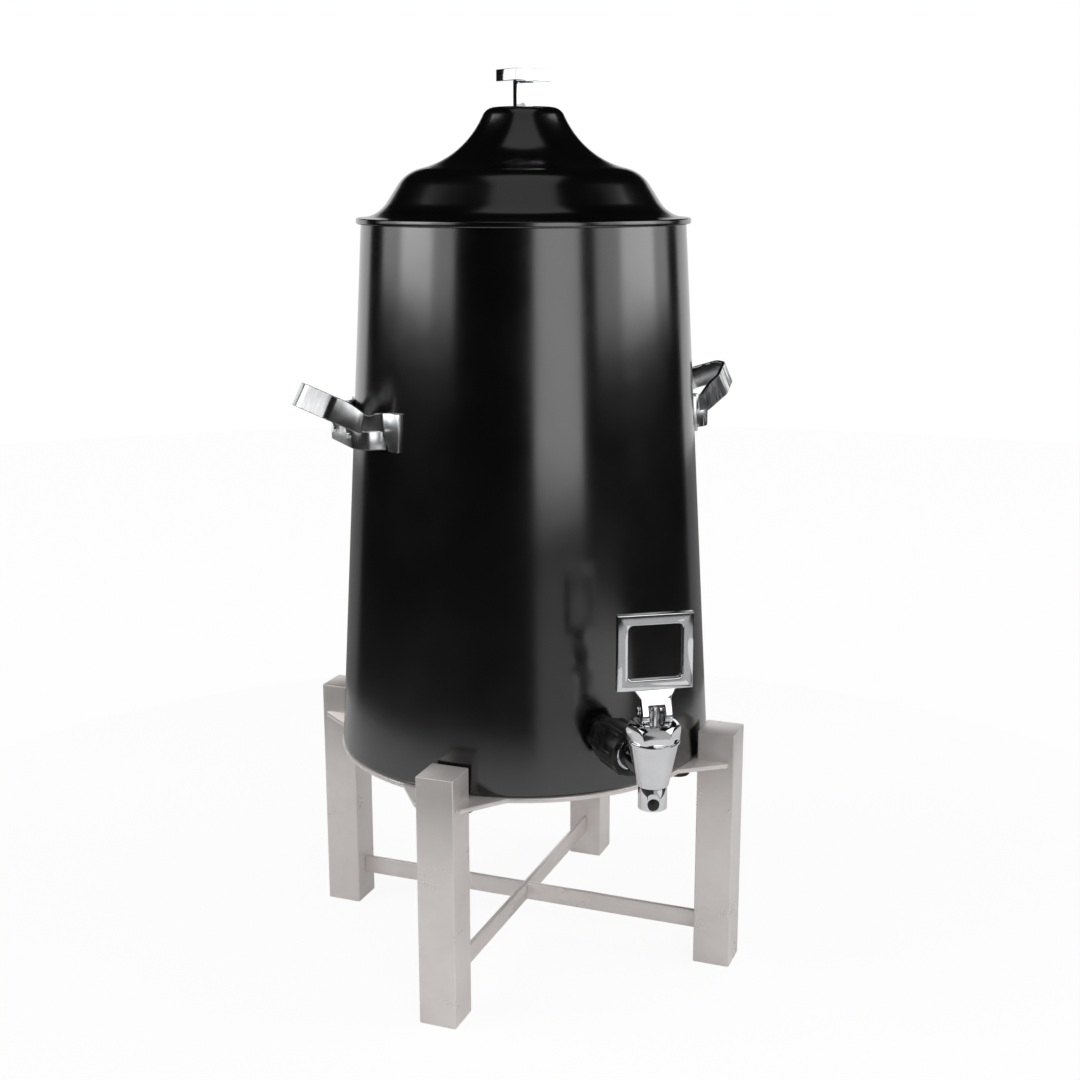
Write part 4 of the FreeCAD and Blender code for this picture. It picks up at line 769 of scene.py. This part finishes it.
@dataclass
class SideHandle:
    """Loop handle of polished strap that rises outward from its feet on the shell."""

    axis: Vector
    side: str
    turn_deg: float
    root_radius: float = 113.9
    root_level: float = 374.5
    root_back: float = 4.0
    slope_deg: float = 26.0
    strap_width: float = 15.6
    neck_width: float = 12.2
    neck_from: float = 24.0
    neck_run: float = 20.0
    twist_from: float = 13.0
    twist_run: float = 14.0
    strap_thick: float = 2.8
    half_width: float = 21.8
    tip_half: float = 5.8
    tip_reach: float = 46.5
    tip_slant: float = 46.0
    arm_slant: float = 20.0
    shoulder_bend: float = 11.0
    tip_bend: float = 8.0
    foot_bend: float = 5.0
    foot_end: float = 47.6
    foot_width: float = 24.0
    foot_level: float = 373.0
    foot_ahead: float = 2.0
    foot_run: float = 5.0
    foot_drop: float = 0.4
    shell_lean: float = 3.4
    mount_face: float = 128.2
    mount_half: float = 33.6
    mount_bend: float = 13.0
    mount_levels: tuple[float, float] = (361.3, 373.2)
    mount_thick: float = 2.4
    edge_rounding: float = 0.5
    smooth_deg: float = 50.0

    def plan(self) -> list[tuple[float, float]]:
        """Middle line of half the strap, from the tip's middle to the end of a foot.

        Returns:
            Distance along the slope and sideways, in millimetres.
        """
        half = self.strap_thick / 2
        steep, gentle = math.radians(self.tip_slant), math.radians(self.arm_slant)
        tip = self.tip_reach - half
        blunt = self.tip_half - half * math.tan((math.pi / 2 - steep) / 2)
        spread = 1.0 + math.cos(steep - gentle)
        edge = self.tip_reach - (self.half_width - self.tip_half) / math.tan(steep)
        shoulder = edge - half * (math.sin(gentle) + math.sin(steep)) / spread
        arm = self.half_width - half * (math.cos(gentle) + math.cos(steep)) / spread
        root = -self.root_back
        landing = arm + (shoulder - root) * math.tan(gentle)
        return rounded([
            (tip, 0.0, 0.0),
            (tip, blunt, self.tip_bend - half),
            (shoulder, arm, self.shoulder_bend - half),
            (root, landing, self.foot_bend),
            (-self.sag(self.foot_end) + half, self.foot_end, 0.0)], 7)

    def sag(self, sideways: float) -> float:
        """How far the round shell falls back at a distance sideways.

        Args:
            sideways: distance from the handle's middle, in millimetres.

        Returns:
            The fall, in millimetres.
        """
        return self.root_radius - math.sqrt(self.root_radius ** 2 - sideways ** 2)

    def fine_plan(self, step: float = 3.0) -> list[Vector]:
        """Middle line with its long runs divided.

        Args:
            step: longest piece, in millimetres.

        Returns:
            The points of the line.
        """
        line = self.plan()
        fine: list[Vector] = []
        for start, end in zip(line, line[1:]):
            pieces = max(1, round((Vector(end) - Vector(start)).length / step))
            fine += [Vector(start).lerp(Vector(end), k / pieces) for k in range(pieces)]
        fine.append(Vector(line[-1]))
        return fine

    def stations(self) -> list[StrapStation]:
        """Sections along half the strap.

        Returns:
            The sections, from the tip to the foot.
        """
        slope = math.radians(self.slope_deg)
        out = Vector((math.cos(slope), 0.0, math.sin(slope)))
        rise = Vector((-math.sin(slope), 0.0, math.cos(slope)))
        lean = math.radians(self.shell_lean)
        up_shell = Vector((-math.sin(lean), 0.0, math.cos(lean)))
        side = Vector((0.0, 1.0, 0.0))
        fine = self.fine_plan()
        landing = self.plan()[-2][1]
        foot_top = self.foot_level + self.foot_width / 2
        found = []
        for index, spot in enumerate(fine):
            before, after = fine[max(0, index - 1)], fine[min(len(fine) - 1, index + 1)]
            heading = (after - before).normalized()
            if index == 0:
                heading = Vector((0.0, 1.0))
            neck = eased((self.neck_from - spot.x) / self.neck_run)
            foot = eased((spot.y - landing + self.foot_ahead) / self.foot_run)
            twist = eased((self.twist_from - spot.x) / self.twist_run)
            width = self.strap_width + (self.neck_width - self.strap_width) * neck
            width += (self.foot_width - width) * foot
            tilted = Vector((self.root_radius, 0.0, self.root_level)) + out * spot.x
            tilted = tilted + rise * ((width - self.strap_width) / 2) * (1.0 - foot)
            flat = Vector((self.root_radius + spot.x, 0.0,
                           foot_top - width / 2 - self.foot_drop * (1 - foot)))
            centre = tilted.lerp(flat, twist) + side * spot.y
            across = rise.lerp(up_shell, twist).normalized()
            ahead = (out.lerp(Vector((1.0, 0.0, 0.0)), twist) * heading.x
                     + side * heading.y).normalized()
            through = across.cross(ahead).normalized()
            across = ahead.cross(through).normalized()
            found.append(StrapStation(centre, across, through, width, self.strap_thick))
        return found

    def mount_stations(self) -> list[StrapStation]:
        """Sections along half the bracket that joins the two feet below the loop.

        Returns:
            The sections, from the middle of its face to the shell.
        """
        half = self.mount_thick / 2
        low, high = self.mount_levels
        face = self.mount_face - half
        wide = self.mount_half - half
        near = self.root_radius - self.sag(wide) - half
        line = rounded([(face, 0.0, 0.0), (face, wide, self.mount_bend - half), (near, wide, 0.0)], 9)
        up = Vector((0.0, 0.0, 1.0))
        found = []
        for index, (x, y) in enumerate(line):
            before, after = line[max(0, index - 1)], line[min(len(line) - 1, index + 1)]
            ahead = Vector((after[0] - before[0], after[1] - before[1], 0.0)).normalized()
            found.append(StrapStation(Vector((x, y, (low + high) / 2)), up, up.cross(ahead),
                                      high - low, self.mount_thick))
        return found

    def swept(self, stations: list[StrapStation], rounding: float) -> bmesh.types.BMesh:
        """Push a flat section along half a line, then mirror it.

        Args:
            stations: sections from the middle outward.
            rounding: width of the rounding of its long edges, in millimetres.

        Returns:
            The whole shape, in metres, about the urn's axis.
        """
        bm = bmesh.new()
        bmesh.ops.create_grid(bm, x_segments=1, y_segments=1, size=0.5,
                              matrix=stations[0].matrix())
        face = bm.faces[:][0]
        first_face = face
        for earlier, later in zip(stations, stations[1:]):
            grown = bmesh.ops.extrude_face_region(bm, geom=[face])["geom"]
            face = next(item for item in grown if isinstance(item, bmesh.types.BMFace))
            step = later.matrix() @ earlier.matrix().inverted()
            bmesh.ops.transform(bm, matrix=step, verts=face.verts)
        if first_face.is_valid:
            bmesh.ops.delete(bm, geom=[first_face], context="FACES_ONLY")
        bmesh.ops.mirror(bm, geom=bm.verts[:] + bm.edges[:] + bm.faces[:], axis="Y",
                         matrix=Matrix.Identity(4), merge_dist=1e-5)
        bmesh.ops.remove_doubles(bm, verts=bm.verts, dist=1e-5)
        middle = [f for f in bm.faces if all(abs(v.co.y) < 1e-6 for v in f.verts)]
        bmesh.ops.delete(bm, geom=middle, context="FACES_ONLY")
        bmesh.ops.recalc_face_normals(bm, faces=bm.faces)
        soften(bm, rounding, 3, 60.0)
        return bm

    def build(self, shop: Workshop) -> None:
        """Build the strap, and the bracket between its arms.

        Args:
            shop: where the pieces are made.
        """
        turn = Matrix.Translation(self.axis) @ Matrix.Rotation(math.radians(self.turn_deg), 4, "Z")
        for name, stands_for, stations in (
                ("handle_strap", "handle_loop", self.stations()),
                ("handle_mount", "handle_bracket", self.mount_stations())):
            bm = self.swept(stations, self.edge_rounding)
            bmesh.ops.transform(bm, matrix=turn, verts=bm.verts)
            thing = shop.piece(f"{name}_{self.side}", bm, Body.URN, Slot.CHROME,
                               (f"{stands_for}_{self.side}",), self.smooth_deg)
            shop.finishes.brush(thing)


@dataclass
class LeverTap:
    """Lever tap on its black union nut."""

    chromed: dict[str, float] = field(default_factory=lambda: {
        "tap_body": 0.4, "spout_sleeve": 0.5, "tap_bonnet": 0.6})
    black: dict[str, float] = field(default_factory=lambda: {
        "tap_collar": 0.5, "union_nut": 0.7, "spout_button": 0.5})
    lever_rounding: float = 1.4
    pin_rounding: float = 0.4

    def build(self, shop: Workshop) -> None:
        """Build the tap's pieces.

        Args:
            shop: where the pieces are made.
        """
        for node, rounding in self.chromed.items():
            shop.soft_edged(node, Body.URN, Slot.CHROME, rounding, 3)
        for node, rounding in self.black.items():
            shop.soft_edged(node, Body.URN, Slot.BLACK_PLASTIC, rounding, 3)
        shop.soft_edged("tap_lever", Body.LEVER, Slot.CHROME, self.lever_rounding, 5)
        shop.soft_edged("hinge_pin", Body.STEM, Slot.CHROME, self.pin_rounding, 3)


@dataclass
class KeptSolids:
    """Solids that keep their own shape and take a finish."""

    finishes: Finishes

    def build(self, record: dict, nodes: dict[str, bpy.types.Object]) -> None:
        """Paint every solid that is still shown.

        Args:
            record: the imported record.
            nodes: solids by name.
        """
        slots = {row["node"]: Slot(row["material_slot"]) for row in record["subparts"]}
        for name, thing in nodes.items():
            self.finishes.paint(thing, slots[name])


# The studio


@dataclass(frozen=True)
class SoftBox:
    """One soft box: where it hangs, its size and its brightness."""

    name: str
    bearing_deg: float
    distance: float
    height: float
    wide: float
    tall: float
    glow: float


@dataclass
class Studio:
    """Camera, floor, backdrop and lights of a plain product shot."""

    axis: Vector
    camera_from_axis: tuple[float, float, float] = (-0.420850, -0.969022, 0.526832)
    right: tuple[float, float, float] = (0.913138, -0.407650, -0.000943)
    up: tuple[float, float, float] = (0.091614, 0.202960, 0.974892)
    forward: tuple[float, float, float] = (0.397223, 0.890297, -0.222677)
    lens_mm: float = 52.56
    pale_reach: float = 0.62
    patch_bearing: float = 47.0
    patch_distance: float = 0.95
    patch_reach: float = 0.3
    patch_drop: float = 0.001
    room_reach: float = 9.0
    room_drop: float = 0.002
    aim_level: float = 1.5
    room: float = 0.006
    plain_light: float = 0.35
    wall_from: float = 131.0
    wall_distance: float = 2.4
    wall_height: float = 1.0
    boxes: tuple[SoftBox, ...] = (
        SoftBox("box_left", -78.0, 1.3, 1.06, 1.62, 1.22, 1.25),
        SoftBox("box_left_hot", -76.0, 1.3, 1.09, 0.62, 1.22, 1.9),
        SoftBox("box_front", 22.0, 1.9, 0.90, 1.04, 1.6, 1.65),
        SoftBox("box_right", 81.0, 1.3, 1.02, 1.69, 1.22, 1.15),
        SoftBox("box_right_hot", 82.0, 1.3, 1.04, 0.70, 1.22, 1.5),
        SoftBox("box_top", 0.0, 0.3, 2.2, 1.2, 1.6, 0.3),
    )

    def camera(self) -> None:
        """Set the camera where the photograph was taken."""
        data = bpy.data.cameras.new("camera")
        data.lens = self.lens_mm
        data.sensor_width = 36.0
        data.clip_start = 0.01
        data.clip_end = 50.0
        camera = bpy.data.objects.new("camera", data)
        bpy.context.scene.collection.objects.link(camera)
        matrix = Matrix.Identity(4)
        for row in range(3):
            matrix[row][0] = self.right[row]
            matrix[row][1] = self.up[row]
            matrix[row][2] = -self.forward[row]
            matrix[row][3] = self.axis[row] + self.camera_from_axis[row]
        camera.matrix_world = matrix
        bpy.context.scene.camera = camera

    def staged(self, name: str, bm: bmesh.types.BMesh, material: bpy.types.Material) -> None:
        """Set up a part of the studio that isn't part of the object.

        Args:
            name: name of the part.
            bm: its shape; it is freed here.
            material: its material.
        """
        mesh = bpy.data.meshes.new(name)
        bm.to_mesh(mesh)
        bm.free()
        thing = bpy.data.objects.new(name, mesh)
        bpy.context.scene.collection.objects.link(thing)
        thing.data.materials.append(material)

    def disc(self, name: str, reach: float, sides: int, spot: Vector,
             material: bpy.types.Material) -> None:
        """Lay a flat disc.

        Args:
            name: name of the disc.
            reach: its radius.
            sides: facets round it.
            spot: its middle.
            material: its material.
        """
        bm = bmesh.new()
        bmesh.ops.create_circle(bm, cap_ends=True, segments=sides, radius=reach,
                                matrix=Matrix.Translation(spot))
        self.staged(name, bm, material)

    def floor(self) -> None:
        """Lay a plain pale floor round the urn, with a darker room beyond it."""
        centre = Vector((self.axis.x, self.axis.y, 0.0))
        bearing = self.bearing(self.patch_bearing)
        aside = Vector((math.sin(bearing), -math.cos(bearing), 0.0)) * self.patch_distance
        self.disc("floor", self.pale_reach, 96, centre,
                  self.surface("pale_floor", 0.80, 0.90, 0.14))
        self.disc("floor_patch", self.patch_reach, 64,
                  centre + aside - Vector((0.0, 0.0, self.patch_drop)),
                  self.surface("pale_patch", 0.86, 0.95, 0.10))
        self.disc("room_floor", self.room_reach, 96, centre - Vector((0.0, 0.0, self.room_drop)),
                  self.surface("room_floor", 0.05, 0.98, 0.3, floor_gloss=0.3))

    def backdrop(self) -> None:
        """Stand a curved white wall behind the urn."""
        bm = bmesh.new()
        bearing = self.bearing(self.wall_from)
        start = Vector((self.axis.x + math.sin(bearing) * self.wall_distance,
                        self.axis.y - math.cos(bearing) * self.wall_distance, 0.0))
        edge = bmesh.ops.create_vert(bm, co=start)["vert"]
        edge += bmesh.ops.create_vert(bm, co=start + Vector((0.0, 0.0, self.wall_height)))["vert"]
        line = bm.edges.new(edge)
        bmesh.ops.spin(bm, geom=edge + [line], cent=self.axis, axis=(0, 0, 1), dvec=(0, 0, 0),
                       angle=math.radians(360.0 - 2 * self.wall_from), steps=60,
                       use_merge=False, use_duplicate=False)
        self.staged("backdrop", bm, self.surface("white_backdrop", 0.8, 1.0, 0.0, True))

    def surface(self, name: str, colour: float, seen: float, share: float,
                in_gloss: bool = False, floor_gloss: float = 0.0) -> bpy.types.Material:
        """Surface that is white to the camera and a plain grey to the light.

        Args:
            name: name of the material.
            colour: its grey, for all light that falls on it.
            seen: its own brightness to the camera.
            share: share of the grey that the camera still sees, which keeps the shadow.
            in_gloss: whether polished surfaces see it white too.
            floor_gloss: share of a soft mirror in what polished surfaces see.

        Returns:
            The material.
        """
        material = bpy.data.materials.new(name)
        material.use_nodes = True
        tree = material.node_tree
        tree.nodes.clear()
        path = tree.nodes.new("ShaderNodeLightPath")
        plain = tree.nodes.new("ShaderNodeBsdfDiffuse")
        plain.inputs["Color"].default_value = (colour, colour, colour, 1.0)
        faint = tree.nodes.new("ShaderNodeBsdfDiffuse")
        faint.inputs["Color"].default_value = (colour * share,) * 3 + (1.0,)
        glow = tree.nodes.new("ShaderNodeEmission")
        glow.inputs["Strength"].default_value = seen
        white = tree.nodes.new("ShaderNodeAddShader")
        mix = tree.nodes.new("ShaderNodeMixShader")
        output = tree.nodes.new("ShaderNodeOutputMaterial")
        tree.links.new(faint.outputs[0], white.inputs[0])
        tree.links.new(glow.outputs[0], white.inputs[1])
        rays = path.outputs["Is Camera Ray"]
        if in_gloss:
            both = tree.nodes.new("ShaderNodeMath")
            both.operation = "MAXIMUM"
            tree.links.new(rays, both.inputs[0])
            tree.links.new(path.outputs["Is Glossy Ray"], both.inputs[1])
            rays = both.outputs[0]
        tree.links.new(rays, mix.inputs["Fac"])
        lit = plain.outputs[0]
        if floor_gloss > 0:
            mirror = tree.nodes.new("ShaderNodeBsdfGlossy")
            mirror.inputs["Roughness"].default_value = 0.25
            blend = tree.nodes.new("ShaderNodeMixShader")
            blend.inputs["Fac"].default_value = floor_gloss
            tree.links.new(plain.outputs[0], blend.inputs[1])
            tree.links.new(mirror.outputs[0], blend.inputs[2])
            lit = blend.outputs[0]
        tree.links.new(lit, mix.inputs[1])
        tree.links.new(white.outputs[0], mix.inputs[2])
        tree.links.new(mix.outputs[0], output.inputs["Surface"])
        return material

    def world(self) -> None:
        """White background, with a plain grey light and a dark room for what reflects it."""
        world = bpy.data.worlds.new("studio")
        world.use_nodes = True
        tree = world.node_tree
        tree.nodes.clear()
        path = tree.nodes.new("ShaderNodeLightPath")
        room = tree.nodes.new("ShaderNodeBackground")
        room.inputs["Color"].default_value = (self.room, self.room, self.room * 1.04, 1.0)
        white = tree.nodes.new("ShaderNodeBackground")
        white.inputs["Color"].default_value = (1.0, 1.0, 1.0, 1.0)
        plain = tree.nodes.new("ShaderNodeBackground")
        plain.inputs["Color"].default_value = (self.plain_light,) * 3 + (1.0,)
        around = tree.nodes.new("ShaderNodeMixShader")
        mix = tree.nodes.new("ShaderNodeMixShader")
        output = tree.nodes.new("ShaderNodeOutputWorld")
        tree.links.new(path.outputs["Is Glossy Ray"], around.inputs["Fac"])
        tree.links.new(plain.outputs[0], around.inputs[1])
        tree.links.new(room.outputs[0], around.inputs[2])
        tree.links.new(path.outputs["Is Camera Ray"], mix.inputs["Fac"])
        tree.links.new(around.outputs[0], mix.inputs[1])
        tree.links.new(white.outputs[0], mix.inputs[2])
        tree.links.new(mix.outputs[0], output.inputs["Surface"])
        bpy.context.scene.world = world

    def bearing(self, from_camera_deg: float) -> float:
        """Bearing about the urn's axis, given from the camera's side.

        Args:
            from_camera_deg: degrees to the right of the camera's side.

        Returns:
            The bearing, in radians.
        """
        camera = math.atan2(self.camera_from_axis[0], -self.camera_from_axis[1])
        return camera + math.radians(from_camera_deg)

    def lamp(self, box: SoftBox) -> None:
        """Hang a soft box that faces the urn.

        Args:
            box: the soft box.
        """
        bearing = self.bearing(box.bearing_deg)
        spot = Vector((self.axis.x + math.sin(bearing) * box.distance,
                       self.axis.y - math.cos(bearing) * box.distance, box.height))
        data = bpy.data.lights.new(box.name, "AREA")
        data.shape = "RECTANGLE"
        data.size = box.wide
        data.size_y = box.tall
        data.energy = box.glow * math.pi * box.wide * box.tall
        lamp = bpy.data.objects.new(box.name, data)
        bpy.context.scene.collection.objects.link(lamp)
        lamp.visible_camera = False
        aim = Vector((self.axis.x, self.axis.y, min(box.height, self.aim_level))) - spot
        lamp.matrix_world = (Matrix.Translation(spot)
                             @ aim.to_track_quat("-Z", "Y").to_matrix().to_4x4())

    def build(self) -> None:
        """Set up the whole studio."""
        self.camera()
        self.floor()
        self.backdrop()
        self.world()
        for box in self.boxes:
            self.lamp(box)
        bpy.context.scene.view_settings.view_transform = "Standard"


def main() -> None:
    """Build the urn's looks and the studio round it."""
    logging.basicConfig(level=logging.INFO, format="%(message)s")
    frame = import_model()
    low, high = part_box("outer_shell")
    axis = Vector((0.0, (low.y + high.y) / 2, 0.0))
    finishes = Finishes()
    KeptSolids(finishes).build(frame["record"], frame["nodes"])
    shop = Workshop(frame["nodes"], finishes)
    builders: list[Callable[[Workshop], None]] = [
        Stand().build,
        UrnBody(axis).build,
        LidDome(axis).build,
        SideHandle(axis, "right", 0.0).build,
        SideHandle(axis, "left", 180.0).build,
        LeverTap().build,
    ]
    for build in builders:
        build(shop)
    Studio(axis).build()


if __name__ == "__main__":
    main()
